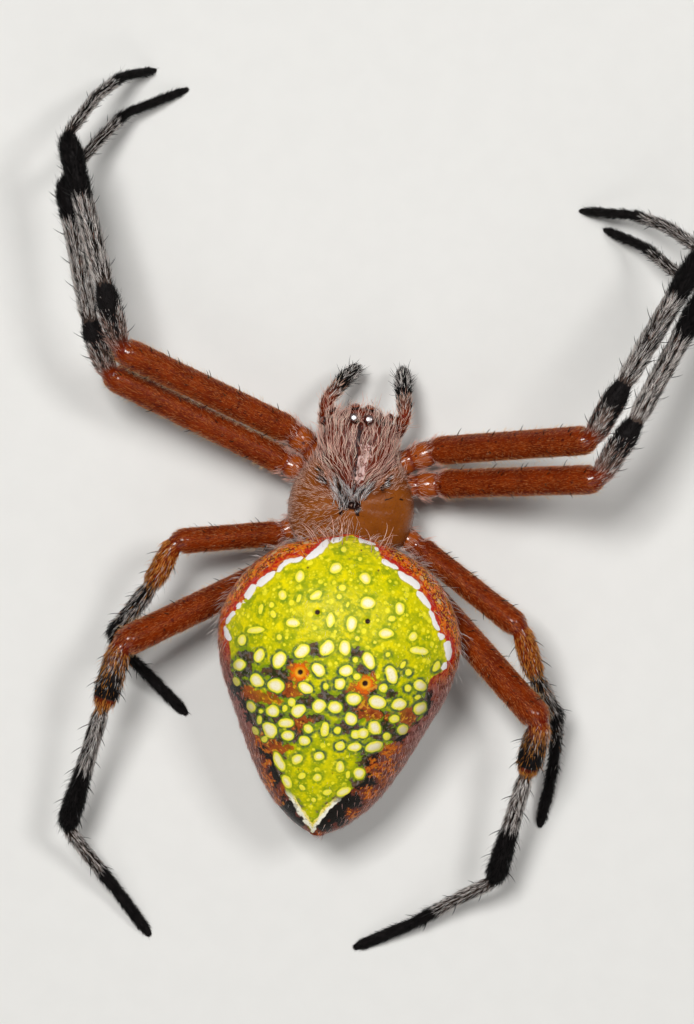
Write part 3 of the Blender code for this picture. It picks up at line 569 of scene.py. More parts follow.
class Strands:
    """Hairs gathered for one piece: tapered prisms with a colour and a place on the unwrap."""

    PATCH = 0.003

    def __init__(self, shell, sizes, seed):
        self.shell = shell
        self.sizes = sizes
        self.rng = np.random.default_rng(seed)
        self.part = (0.0, 1.0)
        self.count = 0
        self.points, self.quads, self.tris, self.tints, self.tips, self.patches = ([] for _ in range(6))

    def draw(self, density):
        """Draw places over the shell, so many to the square millimetre."""
        weights = (self.shell.area * (density * self.sizes.coat_density))[:-1]
        count = int(round(weights.sum()))
        cells = self.rng.choice(weights.size, count, p=(weights / weights.sum()).ravel())
        cols = weights.shape[1]
        return cells // cols + self.rng.random(count), cells % cols + self.rng.random(count)

    def vary(self, colour, number, amount=0.18):
        """Return one colour for each hair, a little lighter or darker than the given one."""
        return np.clip(np.array(colour[:3]) * (1 + self.rng.normal(0, amount, (number, 1))), 0.0, 1.0)

    def recolour(self, tints, chosen, colour, amount=0.3):
        """Give the chosen hairs another colour."""
        tints[chosen] = self.vary(colour, len(tints), amount)[chosen]

    def paths(self, row, col, length, lift, rings, stray=14, wave=0.0, bend=0.75, sink=0.02):
        """Return the paths and normals of hairs that start in the skin and bend along the comb."""
        shell, rng, number = self.shell, self.rng, (len(row), 1)
        start = shell.at(shell.points, row, col)
        normal = unit(shell.at(shell.normals, row, col))
        comb = shell.at(shell.along if shell.comb is None else shell.comb, row, col)
        comb = unit(comb - normal * np.sum(comb * normal, axis=-1, keepdims=True))
        side = np.cross(normal, comb)
        turn = np.radians(rng.normal(0, stray, len(row)))[:, None]
        curl = np.radians(rng.normal(0, stray, len(row)))[:, None]
        phase = (start[:, :1] * 4.2 + start[:, 1:2] * 5.6) + rng.normal(0, 0.7, number)
        lift = np.radians(lift)[:, None]
        places = [start - normal * sink]
        for ring in range(rings):
            part = ring / rings
            heading = turn + curl * part + math.radians(wave) * np.sin(phase + 7.5 * part)
            rise = lift * (1 - bend * part)
            way = (comb * np.cos(heading) + side * np.sin(heading)) * np.cos(rise) + normal * np.sin(rise)
            places.append(places[-1] + way * length[:, None] / rings)
        return np.stack(places, axis=1), normal

    def unwrap(self, row, col):
        """Return where places of the shell lie on its part of the unwrap."""
        rows, cols = self.shell.points.shape[:2]
        left, right = self.part
        return np.stack((left + (right - left) * (0.02 + 0.95 * (col % cols) / cols),
                         0.01 + 0.97 * row / rows), axis=-1)

    def grow(self, row, col, length, thick, lift, rings, tints, **ways):
        """Add hairs at places of the shell, each a little longer, thicker or steeper than the next."""
        number = len(row)
        lengths = length * self.sizes.coat_length * self.rng.uniform(0.65, 1.3, number)
        lifts = lift * self.rng.uniform(0.5, 1.5, number)
        paths, normals = self.paths(row, col, lengths, lifts, rings, **ways)
        paths[..., 2] = np.maximum(paths[..., 2], 0.01)
        thicks = thick * self.sizes.coat_thickness * self.rng.uniform(0.75, 1.2, number)
        self.add(paths, taper(thicks, rings), normals, tints, self.unwrap(row, col))

    def sow(self, density, colour, length, thick, lift, rings, spread=0.18, **ways):
        """Draw places and grow hairs of one colour there."""
        row, col = self.draw(density)
        self.grow(row, col, length, thick, lift, rings, self.vary(colour, len(row), spread), **ways)

    def add(self, paths, radii, normals, tints, roots, sides=3):
        """Add prisms along paths, with radii for each ring and the last point as the tip."""
        number, length, _ = paths.shape
        if not number:
            return
        rings = length - 1
        ways = unit(paths[:, 1:] - paths[:, :-1])
        across = unit(np.cross(ways, normals[:, None]))
        above = np.cross(across, ways)
        turns = ((np.arange(sides) + 0.25) * 2 * math.pi / sides)[:, None]
        spread = across[:, :, None] * np.cos(turns) + above[:, :, None] * np.sin(turns)
        body = paths[:, :rings, None] + spread * radii[:, :, None, None]
        each = rings * sides + 1
        points = np.concatenate((body.reshape(number, each - 1, 3), paths[:, -1:]), axis=1)
        tris = [(0, corner + 1, corner) for corner in range(1, sides - 1)]
        quads = []
        for side in range(sides):
            after = (side + 1) % sides
            for low in range(0, (rings - 1) * sides, sides):
                quads.append((low + side, low + after, low + sides + after, low + sides + side))
            tris.append((each - 1 - sides + side, each - 1 - sides + after, each - 1))
        base = self.count + np.arange(number)[:, None, None] * each
        if quads:
            self.quads.append((base + np.array(quads)).reshape(-1, 4))
        self.tris.append((base + np.array(tris)).reshape(-1, 3))
        self.points.append(points.reshape(-1, 3))
        self.count += number * each
        along = np.append(np.repeat(np.arange(rings) / rings, sides), 1.0)
        round_it = np.append(np.tile(np.arange(sides) / sides, rings), 0.5)
        self.tips.append(np.tile(along, number))
        self.tints.append(np.repeat(tints, each, axis=0))
        spots = roots[:, None] + np.stack((round_it, along), axis=-1)[None] * self.PATCH
        self.patches.append(spots.reshape(-1, 2))

    def piece(self, name, material, slot):
        """Make the object of all gathered hairs."""
        mesh = bpy.data.meshes.new(name)
        quads = np.concatenate(self.quads) if self.quads else ()
        corners = fill_mesh(mesh, metres(np.concatenate(self.points)), quads, np.concatenate(self.tris))
        add_values(mesh, "tip", self.tips)
        tints = np.pad(np.concatenate(self.tints), ((0, 0), (0, 1)), constant_values=1.0)
        layer = mesh.attributes.new("tint", "FLOAT_COLOR", "POINT")
        layer.data.foreach_set("color", tints.astype(np.float32).ravel())
        unwrap = mesh.uv_layers.new(name="OFBake")
        unwrap.uv.foreach_set("vector", np.concatenate(self.patches)[corners].astype(np.float32).ravel())
        return add_piece(name, mesh, material)


def taper(thick, rings):
    """Return the radii of the rings of each hair, which tapers to its tip."""
    return thick[:, None] * (1 - (np.arange(rings) / rings) ** 1.5 * 0.75)


def towards(heading, pitch):
    """Return the direction of a heading and a pitch."""
    heading, pitch = math.radians(heading), math.radians(pitch)
    return np.array((math.cos(heading) * math.cos(pitch), math.sin(heading) * math.cos(pitch),
                     math.sin(pitch)))


def leg_joints(name):
    """Return the joints of a leg, from the root of the coxa to the tip of the tarsus."""
    base, lengths, (tarsus_length, tarsus_heading) = LEGS[name]
    root = np.array(COXA_ROOTS[int(name[4])]) * (SIDES[name[6:]], 1, 1)
    joints = [root, np.array(base)]
    for length, heading, pitch in lengths:
        joints.append(joints[-1] + length * towards(heading, pitch))
    drop = joints[-1][2] - FOOT_HEIGHT
    pitch = -math.degrees(math.asin(min(1.0, drop / tarsus_length)))
    joints.append(joints[-1] + tarsus_length * towards(tarsus_heading, pitch))
    return joints


def rounded_path(joints, reach):
    """Return points along a path that rounds each joint, and the index of each joint on it."""
    places = [joints[0]]
    marks = [0]
    for before, joint, after in zip(joints, joints[1:], joints[2:]):
        start = joint + unit(before - joint) * reach
        end = joint + unit(after - joint) * reach
        marks.append(len(places) + BEND_STEPS // 2)
        for step in range(BEND_STEPS + 1):
            t = step / BEND_STEPS
            places.append(start * (1 - t) ** 2 + joint * 2 * t * (1 - t) + end * t * t)
    places.append(joints[-1])
    marks.append(len(places) - 1)
    return np.array(places), marks


def smooth_line(values, width):
    """Smooth a row of values with a bell of the given width in samples."""
    reach = int(width * 3) + 1
    bell = np.exp(-0.5 * (np.arange(-reach, reach + 1) / width) ** 2)
    padded = np.pad(values, reach, mode="edge")
    return np.convolve(padded, bell / bell.sum(), mode="valid")


class Limb:
    """A jointed limb: its path, where each joint lies on it, and the shell of its skin."""

    def __init__(self, joints, reach, step, sides, profile, smoothing):
        places, marks = rounded_path(joints, reach)
        hops = np.linalg.norm(np.diff(places, axis=0), axis=1)
        travel = np.concatenate(((0.0,), np.cumsum(hops)))
        self.joints = [travel[mark] for mark in marks]
        self.length = travel[-1]
        self.travel = np.linspace(0, self.length, int(self.length / step) + 1)
        path = np.stack([np.interp(self.travel, travel, column) for column in places.T], axis=-1)
        ways = unit(np.gradient(path, axis=0))
        ways = unit(np.stack([smooth_line(column, smoothing) for column in ways.T], axis=-1))
        keys = np.array(profile(self.joints))
        radii = smooth_line(np.interp(self.travel, keys[:, 0], keys[:, 1]), smoothing)
        self.on_left = joints[-1][0] < 0
        self.shell = Shell(rings_along(path, ways, radii, sides))
        self.shell.comb = np.repeat(ways[:, None], sides, axis=1)

    def near_joints(self, width, *others):
        """Return how close each ring is to a joint or to another place, from 0 to 1."""
        joints = np.array((*self.joints[1:-1], *others))
        return bell(np.min(np.abs(self.travel[:, None] - joints), axis=1), width)[:, None]

    def bands(self, keys):
        """Return the shares of pale and of black along the limb from rows of place, pale and black."""
        place, pale, dark = np.array(keys).T
        return (np.interp(self.travel, place, share)[:, None] for share in (pale, dark))


def leg_profile(pair):
    """Return a function that gives the radius of a leg at its key places."""
    depths = COAT_DEPTH if pair < 3 else REAR_COAT_DEPTH

    def profile(joints):
        keys = []
        for segment, (first, last) in SEGMENT_JOINTS.items():
            shape = SEGMENT_SHAPES.get("%s of %d" % (segment, pair), SEGMENT_SHAPES[segment])
            radius = LEG_RADII[pair][segment] - depths[segment]
            start = joints[first] + (JOINT_WIDTH if first else 0.0)
            end = joints[last] - (JOINT_WIDTH if segment != "tarsus" else 0.0)
            if keys:
                neck = min(keys[-1][1], radius * shape[0][1]) * JOINT_DIP
                keys.append((joints[first], neck))
            keys += [(start + (end - start) * part, radius * scale) for part, scale in shape]
        return keys
    return profile


def limb_streaks(limb, seed):
    """Return thin streaks that run along a limb, with a spread of one."""
    rng = np.random.default_rng(seed)
    field = rng.normal(0, 1, limb.shell.points.shape[:2])
    field = np.array([smooth_line(column, STREAK_LENGTH) for column in field.T]).T
    return field / field.std()


def make_leg(name):
    """Return the limb of one leg with the marks of its bands."""
    pair = int(name[4])
    limb = Limb(leg_joints(name), BEND_REACH, 0.1, 30, leg_profile(pair), 1.0)
    shell = limb.shell
    shell.points[..., 2] = np.maximum(shell.points[..., 2], 0.0)
    shell.settle()
    keys = [(0.0, 0.0, 0.0)]
    for segment, part, pale, dark in LEG_BANDS[pair]:
        if segment == "tibia" and 0.3 < part < 1:
            part += BAND_SHIFTS.get(name, 0.0)
        start, end = (limb.joints[joint] for joint in SEGMENT_JOINTS[segment])
        keys.append((start + (end - start) * part, pale, dark))
    pale, dark = limb.bands(keys)
    streaks = limb_streaks(limb, 300 + sum(map(ord, name)))
    share = np.clip(dark / np.maximum(pale + dark, 1e-3), 0.001, 0.999)
    sway = STREAK_STRENGTH * np.minimum(1, 6 * share * (1 - share))
    share = 1 / (1 + np.exp(-np.log(share / (1 - share)) - sway * streaks))
    share = np.where(share > 0.99, 1.0, np.where(share < 0.01, 0.0, share))
    start, end = limb.joints[1:3]
    limb.trochanter = start * TROCHANTER_PART
    root = (1 - ease(start, start + 0.3, limb.travel))[:, None]
    shell.mark(pale=(pale + dark) * (1 - share), dark=(pale + dark) * share,
               joint=limb.near_joints(0.11, limb.trochanter), root=root,
               gloss=np.maximum(root, 0.8 * bell(limb.travel - end, 0.4)[:, None]))
    return limb


def band_tints(hair, row, col, colours, plain, line=0.0):
    """Return hair colours drawn by the shares of pale and of black where the hairs stand, with a few black hairs
    made grey as painted highlights.
    """
    shell = hair.shell
    dark = shell.at(shell.marks["dark"], row, col)
    cover = dark + shell.at(shell.marks["pale"], row, col)
    dark = np.maximum(dark, line * cover)
    chance = hair.rng.random(len(row))
    tints = hair.vary(plain, len(row))
    hair.recolour(tints, chance < cover, colours.hair_pale, 0.12)
    hair.recolour(tints, chance < dark, colours.hair_black)
    # A few black hairs are lightened to grey as painted highlights, the small sparkles on the black bands.
    tints[(chance < dark) & (chance < 0.04)] *= 6
    return tints


def leg_coat(name, limb, sizes, colours, seed):
    """Return the hair of one leg: its lying coat, thin fuzz that stands out, and tufts at the root."""
    shell = limb.shell
    hair = Strands(shell, sizes, seed)
    cols = shell.points.shape[1]
    turns = np.arange(cols) / cols * 360
    bare = np.ones(cols)
    for turn in BARE_LINES:
        bare *= 1 - 0.9 * bell(turns - turn, 7.0)
    turned = np.cos(np.radians(turns))
    above = 1 - LOWER_THINNER * ease(0.0, 0.6, -np.sin(np.radians(turns)))
    knee = colours.hair_knee if name[4] in "12" else colours.hair_amber
    plains = {"coxa": colours.hair_head, "femur": colours.hair_gold}
    for segment, (first, last) in SEGMENT_JOINTS.items():
        start, end = limb.joints[first], limb.joints[last]
        if segment == "coxa":
            start = start + (end - start) * 0.35
        inside = ((limb.travel >= start) & (limb.travel <= end)).astype(float)[:, None] * above
        if segment == "femur":
            inside = inside * bare
        density, length, thick, lift = LEG_COAT[segment]
        row, col = hair.draw(inside * density)
        places, width = BLACK_LINES.get(segment, ((), 1))
        line = np.zeros(len(row))
        for place in places:
            line = np.maximum(line, bell(col / cols * 360 - place, width))
        tints = band_tints(hair, row, col, colours, plains.get(segment, knee), line * 1.15)
        if segment == "femur":
            rim = 0.35 + 0.65 * np.abs(np.interp(col, np.arange(cols), turned))
            hair.recolour(tints, hair.rng.random(len(row)) < FEMUR_LIT * rim, colours.hair_lit)
        velvet = ease(0.5, 0.95, shell.at(shell.marks["dark"], row, col))
        to_tip = 1 - 0.6 * ease(0.75, 0.1, limb.length - row / len(limb.travel) * limb.length)
        hair.grow(row, col, length * (1 - VELVET_SHORTER * velvet) * to_tip, thick,
                  (lift + 7 * line) * (1 + VELVET_STEEPER * velvet), 2, tints, stray=8)
        if segment in LEG_FUZZ:
            density, length, thick, lift = LEG_FUZZ[segment]
            rims, plain = (np.abs(turned)[None] ** 4, colours.hair_rim) if segment == "femur" else (1.0, knee)
            row, col = hair.draw(inside * rims * density)
            hair.grow(row, col, length, thick, lift, 3, band_tints(hair, row, col, colours, plain))
    side = (0.22 + 0.78 * np.abs(turned) ** 3)[None] * (np.sin(np.radians(turns)) > -0.6)
    for place, amount in ((limb.joints[1] - 0.04, 1.0), (limb.trochanter + 0.05, 0.7)):
        ring = bell(limb.travel - place, 0.16)[:, None]
        hair.sow(ring * side * TUFT_DENSITY * amount, colours.hair_head, 0.46, 0.01, 38, 4, 0.12,
                 stray=24, wave=18)
    return hair


def leg_spines(limb, sizes, colours, seed):
    """Return the strands of the black spines of one leg, each over a small socket."""
    hair = Strands(limb.shell, sizes, seed)
    rng = hair.rng
    sides = limb.shell.points.shape[1]
    for segment, (lines, length, lift) in LEG_SPINES.items():
        first, last = SEGMENT_JOINTS[segment]
        start, end = limb.joints[first] + 0.45, limb.joints[last] - 0.25
        rows, cols = [], []
        for index, (turn, step) in enumerate(lines):
            turn = turn if limb.on_left else 180 - turn
            places = np.arange(start + step * (0.25 + 0.5 * (index % 2)), end, step)
            places = places + rng.uniform(-0.2, 0.2, len(places)) * step
            rows.append(np.clip(places / limb.length, 0, 0.999) * (len(limb.travel) - 1))
            cols.append((turn + rng.uniform(-12, 12, len(places))) / 360 * sides % sides)
        row, col = np.concatenate(rows), np.concatenate(cols)
        number = len(row)
        lengths = length * sizes.spine_length * rng.uniform(0.8, 1.2, number)
        lifts = lift * rng.uniform(0.85, 1.15, number)
        paths, normals = hair.paths(row, col, lengths, lifts, 4, stray=7, bend=0.45, sink=0.04)
        paths[..., 2] = np.maximum(paths[..., 2], 0.02)
        thicks = sizes.spine_thickness * rng.uniform(0.8, 1.1, number)
        tints = hair.vary(colours.hair_black, number, 0.3)
        places = hair.unwrap(row, col)
        hair.add(paths, taper(thicks, 4), normals, tints, places, sides=5)
        sockets = paths[:, :1] + (paths[:, 1:2] - paths[:, :1]) * np.array((0.0, 0.25, 0.42))[:, None]
        base = hair.vary((0.07, 0.006, 0.004), number) if segment == "femur" else tints * 1.5
        hair.add(sockets, np.stack((thicks * 2.4, thicks * 1.6), axis=1), normals, base, places, sides=6)
    return hair


def claws(limb):
    """Return the shells of the two curved claws at the tip of one foot."""
    tip = limb.shell.points[-1].mean(axis=0)
    way = unit(limb.shell.comb[-1, 0] * (1, 1, 0))
    side = np.cross(way, (0.0, 0.0, 1.0))
    reach = 0.11
    shells = []
    for sign in SIDES.values():
        path = np.array([tip + side * sign * 0.035 + way * (reach * (math.cos(turn) - 0.2))
                         + np.array((0, 0, reach * (math.sin(turn) - 0.3)))
                         for turn in np.radians(np.linspace(70, -30, 9))])
        path[:, 2] = np.maximum(path[:, 2], 0.015)
        rings = rings_along(path, unit(np.gradient(path, axis=0)), np.linspace(0.02, 0.004, 9), 8, side)
        shells.append(Shell(round_ends(rings, 0.003, 3)))
    return shells


def rim_height(y):
    """Return the height of the carapace's widest line at a distance ahead of the fovea."""
    rows = np.array(THORAX_ROWS)
    return np.interp(y, rows[:, 0], rows[:, 3])


def groove_gap(side, y):
    """Return the distance from the groove between the head and the thorax."""
    pairs = zip(CERVICAL_GROOVE, CERVICAL_GROOVE[1:])
    return np.minimum.reduce([distance_to(side, y, start, end) for start, end in pairs])


def carapace_relief(points, normals):
    """Return how far the skin of the head and thorax stands out or is sunk at each point."""
    x, y = np.abs(points[..., 0]), points[..., 1]
    relief = -0.3 * oval(x, y, (0, -0.26), (0.26, 0.2))
    relief -= 0.13 * bell(groove_gap(x, y), 0.17)
    for turn in RADIAL_FURROWS:
        way = (math.cos(math.radians(turn)), math.sin(math.radians(turn)))
        relief -= 0.04 * ridge(x, y, (way[0] * 0.8, way[1] * 0.8 - 0.2), (way[0] * 2.2, way[1] * 2.2), 0.2)
    relief += 0.05 * (ease(0.0, 0.5, y) * (1 - ease(0.9, 1.5, x)) * (1 - ease(2.9, 3.6, y)))
    rim = bell(points[..., 2] - rim_height(y), 0.07) * (1 - ease(2.0, 2.6, y))
    return relief * ease(0.05, 0.45, normals[..., 2]) + 0.035 * rim


def eye_places():
    """Return the name, centre, way and radius of each of the eight eyes."""
    found = []
    for side, sign in SIDES.items():
        for key, (place, way, diameter) in EYES.items():
            way = unit(way) * (sign, 1, 1)
            radius = diameter / 2
            lift = EYE_GAP + radius * math.sin(math.radians(EYE_DEPTH))
            found.append((key + "_" + side, np.array(place) * (sign, 1, 1) + way * lift, way, radius))
    return found


def make_thorax(sizes):
    """Return the shell of the head and thorax, with grooves, fovea and a mound under each eye."""
    coat = sizes.head_coat
    rings = np.array([section(0.0, y, width - coat, top - coat, middle, bottom + coat, THORAX_BULGE, circle(220))
                      for y, width, top, middle, bottom in refine(THORAX_ROWS, 22)])
    shell = Shell(round_ends(rings, 0.1, 8))
    shell.push(carapace_relief(shell.points, shell.normals))
    for _, centre, way, radius in eye_places():
        offset = shell.points - centre
        height = np.sum(offset * way, axis=-1)
        spread = np.linalg.norm(offset - height[..., None] * way, axis=-1)
        facing = ease(0.0, 0.4, np.sum(shell.normals * way, axis=-1))
        rise = (0.02 - height) * (1 - ease(radius * 1.05, radius * 1.8, spread)) * facing
        shell.points = shell.points + way * np.clip(rise, 0, 1)[..., None]
    shell.settle()
    mark_thorax(shell)
    return shell


def mark_thorax(shell):
    """Keep the marks of the head: dark lines, worn and shaded skin, grooves, and how hair is combed."""
    x, y, z = np.moveaxis(shell.points, -1, 0)
    side = np.abs(x)
    upper = ease(0.0, 0.35, shell.normals[..., 2])
    head = ease(-0.12, 0.1, y - 0.95 * side + 0.25 * ease(1.2, 2.0, y)) * upper
    fovea = oval(x, y, (-0.06, -0.3), (0.48, 0.26), 1.5) * upper
    prongs = ridge(np.abs(x + 0.07), y, (0.32, -0.3), (0.37, -0.66), 0.11) * upper
    slots = ridge(side, y, (1.2, 0.54), (1.42, 0.98), 0.12) * upper
    arms = np.maximum(ridge(x, y, (1.38, 0.1), (1.74, 0.27), 0.04),
                      ridge(x, y, (1.96, 0.21), (2.14, 0.19), 0.045))
    middle = bell(x + 0.02, 0.055) * ease(0.5, 0.9, y) * (1 - ease(3.0, 3.2, y)) * upper
    # Painted shade beside the eyes, stronger on the right side of the head.
    shade = oval(side, y, (0.95, 3.36), (0.42, 0.17), 1.5) * np.where(x > 0, 1.0, 0.75)
    worn = ridge(x, y, (0.13, 0.92), (0.38, 2.14), 0.27, 3) * upper
    flush = oval(side, y, (1.05, 0.5), (0.5, 0.38), 1.3)
    eyes = np.zeros(x.shape)
    for _, centre, _, radius in eye_places():
        gap = np.linalg.norm(shell.points - centre, axis=-1)
        eyes = np.maximum(eyes, 1 - ease(radius * 1.15, radius * 1.9, gap))
    lines = slots * 0.8 + arms * 0.7 + middle * 0.7
    # The dark mark also takes in the painted shade beside the eyes.
    shell.mark(dark=np.clip(fovea + prongs * 0.8 + lines + np.maximum(eyes * 0.85, shade), 0, 1), shade=shade,
               middle=middle, slots=slots, worn=worn, head=head,
               groove=np.maximum(bell(groove_gap(side, y), 0.14), flush) * upper,
               below=1 - ease(-0.12, 0.02, z - rim_height(y)))
    reach = np.linspace(-3, 4, 701)
    fan = 0.12 + 0.88 * ease(0.0, 2.0, reach + 0.3)
    spread = x * np.interp(y, reach, np.gradient(fan, reach)) / np.interp(y, reach, fan)
    parting = 0.22 * np.sign(x) * bell(x, 0.1) * ease(0.6, 1.0, y)
    shell.tuft_comb = unit(vectors(spread * 0.55, 1.0, 0.0))
    forward = vectors(spread - 0.25 * x * ease(2.9, 3.6, y) + parting, 1.0, 0.0)
    front = ease(-0.12, 0.1, y + 0.42 - 0.95 * side + 0.25 * ease(1.2, 2.0, y))[..., None]
    shell.comb = unit(forward) * front + unit(vectors(x, y + 0.2, 0.0)) * (1 - front)


def head_coat(shell, sizes, colours):
    """Return the hair of the head, long and wavy in front of the fovea and short behind it."""
    hair = Strands(shell, sizes, 11)
    x, y, z = np.moveaxis(shell.points, -1, 0)
    up = shell.normals[..., 2]
    head = shell.marks["head"]
    clear = np.ones_like(x)
    for _, centre, _, radius in eye_places():
        clear *= ease(radius, radius * 1.4, np.linalg.norm(shell.points - centre, axis=-1))
    clear *= ease(-0.02, 0.1, 3.78 - y)
    worn = ease(0.1, 0.55, x) * (1 - ease(-0.15, 0.35, y - 0.25 * x))
    left = ridge(x, y, (-0.3, -0.36), (-0.58, 0.42), 0.17)
    right = ridge(x, y, (0.26, -0.16), (0.62, 0.42), 0.14)
    centre = oval(x, y, (0.1, 0.02), (0.26, 0.24))
    tuft = np.maximum(np.maximum(left, 0.85 * right), centre) * ease(0.0, 0.35, up)
    middle = bell(x + 0.02, 0.032, 4) * ease(0.5, 0.9, y)
    free = (1 - 0.6 * shell.marks["worn"]) * (1 - 0.8 * shell.marks["shade"]) * (1 - middle) * (1 - 0.25 * tuft)
    row, col = hair.draw(68 * head * clear * free)
    hair.grow(row, col, 0.74, 0.014, 20, 7, head_tints(hair, row, col, colours), stray=9, wave=17)

    comb, shell.comb = shell.comb, shell.tuft_comb
    row, col = hair.draw(600 * tuft)
    tints = hair.vary(colours.tuft_grey, len(row), 0.32)
    share = 0.84 * shell.at(left, row, col) + 0.66 * shell.at(right, row, col) - 0.4 * shell.at(centre, row, col)
    turn = np.arctan2(shell.at(x, row, col), shell.at(y, row, col) + 1.1)
    black = np.sin(turn * 30) + hair.rng.normal(0, 0.4, len(row)) > 1 - 2 * np.clip(share, 0, 1)
    hair.recolour(tints, black, colours.hair_black)
    hair.grow(row, col, 0.54, 0.0105, 36, 4, tints, stray=8)
    shell.comb = comb

    hair.sow(330 * shell.marks["middle"], (0.07, 0.055, 0.06), 0.34, 0.009, 26, 3, 0.5, stray=4)
    row, col = hair.draw(280 * shell.marks["slots"])
    tints = hair.vary(colours.tuft_grey, len(row), 0.15)
    hair.recolour(tints, np.sin(shell.at(x, row, col) * 34) > -0.35, colours.hair_black)
    hair.grow(row, col, 0.36, 0.014, 34, 3, tints, stray=7)
    # Short pale specks right of the fovea are painted highlights: they stand in for the glints on the bare thorax.
    painted_glints = ridge(x, y, (0.5, -0.42), (1.25, 0.2), 0.16)
    hair.sow(36 * painted_glints, (1.0, 0.9, 0.84), 0.09, 0.024, 8, 2, 0.05, stray=60)
    brow = ease(3.3, 3.62, y) * ease(-0.5, 0.1, up)
    hair.sow(brow * 30, colours.hair_head, 0.34, 0.009, 42, 3, 0.2, stray=18)
    back = (1 - head) * ease(-0.1, 0.4, up) * np.clip(1 - 1.06 * worn, 0, 1)
    hair.sow(back * 85, colours.hair_warm, 0.32, 0.01, 20, 3, wave=16)
    shoulder = (1 - head) * (1 - 0.7 * worn) * ease(0.1, 0.9, y) * ease(-0.1, 0.4, up)
    hair.sow(shoulder * 22, colours.hair_head, 0.62, 0.0095, 24, 5, stray=20, wave=22)
    rim = bell(z - rim_height(y), 0.16) * (1 - ease(1.6, 2.4, y))
    hair.sow(rim * 26, colours.hair_pale, 0.46, 0.0075, 40, 3)
    hair.sow(ease(0.2, 0.6, -up) * 22, colours.hair_warm, 0.24, 0.008, 40, 2)
    return hair


def head_tints(hair, row, col, colours):
    """Return the colours of the head's hairs: pale pink, with a dark line along the middle."""
    x, y, _ = hair.shell.at(hair.shell.points, row, col).T
    tints = hair.vary(colours.hair_head, len(row), 0.28)
    line = bell(x, 0.07) * (1 - ease(2.9, 3.3, y))
    near = bell(y - 0.2, 0.5) * 0.3
    dark = hair.rng.random(len(row)) < np.maximum(line * 0.85, near) + 0.04
    hair.recolour(tints, dark, (0.035, 0.028, 0.03), 0.4)
    return tints


def field_outline():
    """Return the closed, rounded outline of the green field as places across and behind."""
    left, right = (refine(np.array(FIELD_EDGE[side]), 4) for side in SIDES)
    return np.concatenate((left, right[::-1][1:]))


def ellipse_gap(dx, dy, length, width, tilt):
    """Return the signed distance from the edge of an ellipse, below zero inside it."""
    turn = math.radians(tilt)
    u = (dx * math.cos(turn) + dy * math.sin(turn)) / length
    v = (dy * math.cos(turn) - dx * math.sin(turn)) / width
    return np.hypot(dx, dy) - np.hypot(dx, dy) / np.maximum(np.hypot(u, v), 1e-4)


def patch_share(across, behind, rows):
    """Return the soft share of patches from 0 to 1."""
    share = np.zeros(across.shape)
    for x, y, wide, long in np.array(rows):
        gap = ((across - x) / wide) ** 2 + ((behind - y) / long) ** 2
        share = np.maximum(share, np.exp(-0.5 * gap ** 1.3))
    return share


def mark_abdomen(shell):
    """Keep the marks of the abdomen as distances from spots, pits, patches and the field's edge."""
    across = shell.points[..., 0] - ABDOMEN_FRONT[0]
    behind = ABDOMEN_FRONT[1] - shell.points[..., 1]
    up = shell.normals[..., 2]
    far = np.full(across.shape, 9.0)
    spot, pit, edge = far, far, far
    cream, run = np.zeros(across.shape), np.zeros(across.shape)
    for x, y, length, *rest in BACK_SPOTS:
        width, tilt = rest or (length, 0)
        gap = ellipse_gap(across - x, y - behind, length, width, tilt)
        cream = np.where(gap < spot, ease(0.1, 0.24, width), cream)
        spot = np.minimum(spot, gap)
    for x, y, radius in np.array(BACK_PITS):
        pit = np.minimum(pit, np.hypot(across - x, behind - y) - radius)

    outline = field_outline()
    travel = np.cumsum(np.hypot(*np.diff(outline, axis=0, prepend=outline[:1]).T))
    passed = 0.0
    inside = np.zeros(across.shape, dtype=bool)
    for start, end in zip(outline, np.roll(outline, -1, axis=0)):
        if np.allclose(start, end):
            continue
        gap = distance_to(across, behind, start, end)
        step = end - start
        length = np.hypot(*step)
        part = ((across - start[0]) * step[0] + (behind - start[1]) * step[1]) / length
        run = np.where(gap < edge, passed + np.clip(part, 0, length), run)
        edge = np.minimum(edge, gap)
        passed += length
        if start[1] != end[1]:
            crosses = (start[1] > behind) != (end[1] > behind)
            at = start[0] + (behind - start[1]) / (end[1] - start[1]) * (end[0] - start[0])
            inside ^= crosses & (across < at)
    lower = 1 - ease(0.05, 0.3, up)
    edge = np.maximum(np.where(inside, -edge, edge) + lower * 0.6, (0.1 - up) * 6)

    phase = run / BORDER_BEAD + 0.16 * np.sin(run * 1.3)
    bead = np.sqrt(1 - np.abs(2 * (phase % 1.0) - 1) ** 4)
    skew = BORDER_SKEW * (phase % 1.0 - 0.5)
    white = np.full(across.shape, 0.5)
    for side, sign in SIDES.items():
        stop = BORDER_END[side]
        rim = (1 - ease(stop - 0.1, stop + 0.1, behind)) * ease(0.24, 0.4, across * sign)
        for place, half in BORDER_BREAKS[side]:
            start = travel[np.argmin(np.abs(outline[:, 1] - place) + 9.0 * (outline[:, 0] * sign < 0))]
            rim = rim * (1 - bell(run - start, half, 4))
        half = (BORDER_HALF * bead * (0.88 + 0.16 * np.sin(run * 1.9 + sign)) - BORDER_GAP) * rim
        white = np.where(across * sign >= 0, np.abs(edge + skew * rim) - half + (1 - rim) * 0.1, white)
    shell.mark(spot=spot + lower * 0.5, cream=cream, pit=pit + lower * 0.5,
               dark=patch_share(across, behind, DARK_PATCHES),
               orange=patch_share(across, behind, ORANGE_PATCHES), edge=edge, white=white,
               tail=ease(TAIL_EDGE_START - 0.2, TAIL_EDGE_START + 0.3, behind),
               under=ease(0.15, 0.75, -up), behind=behind)


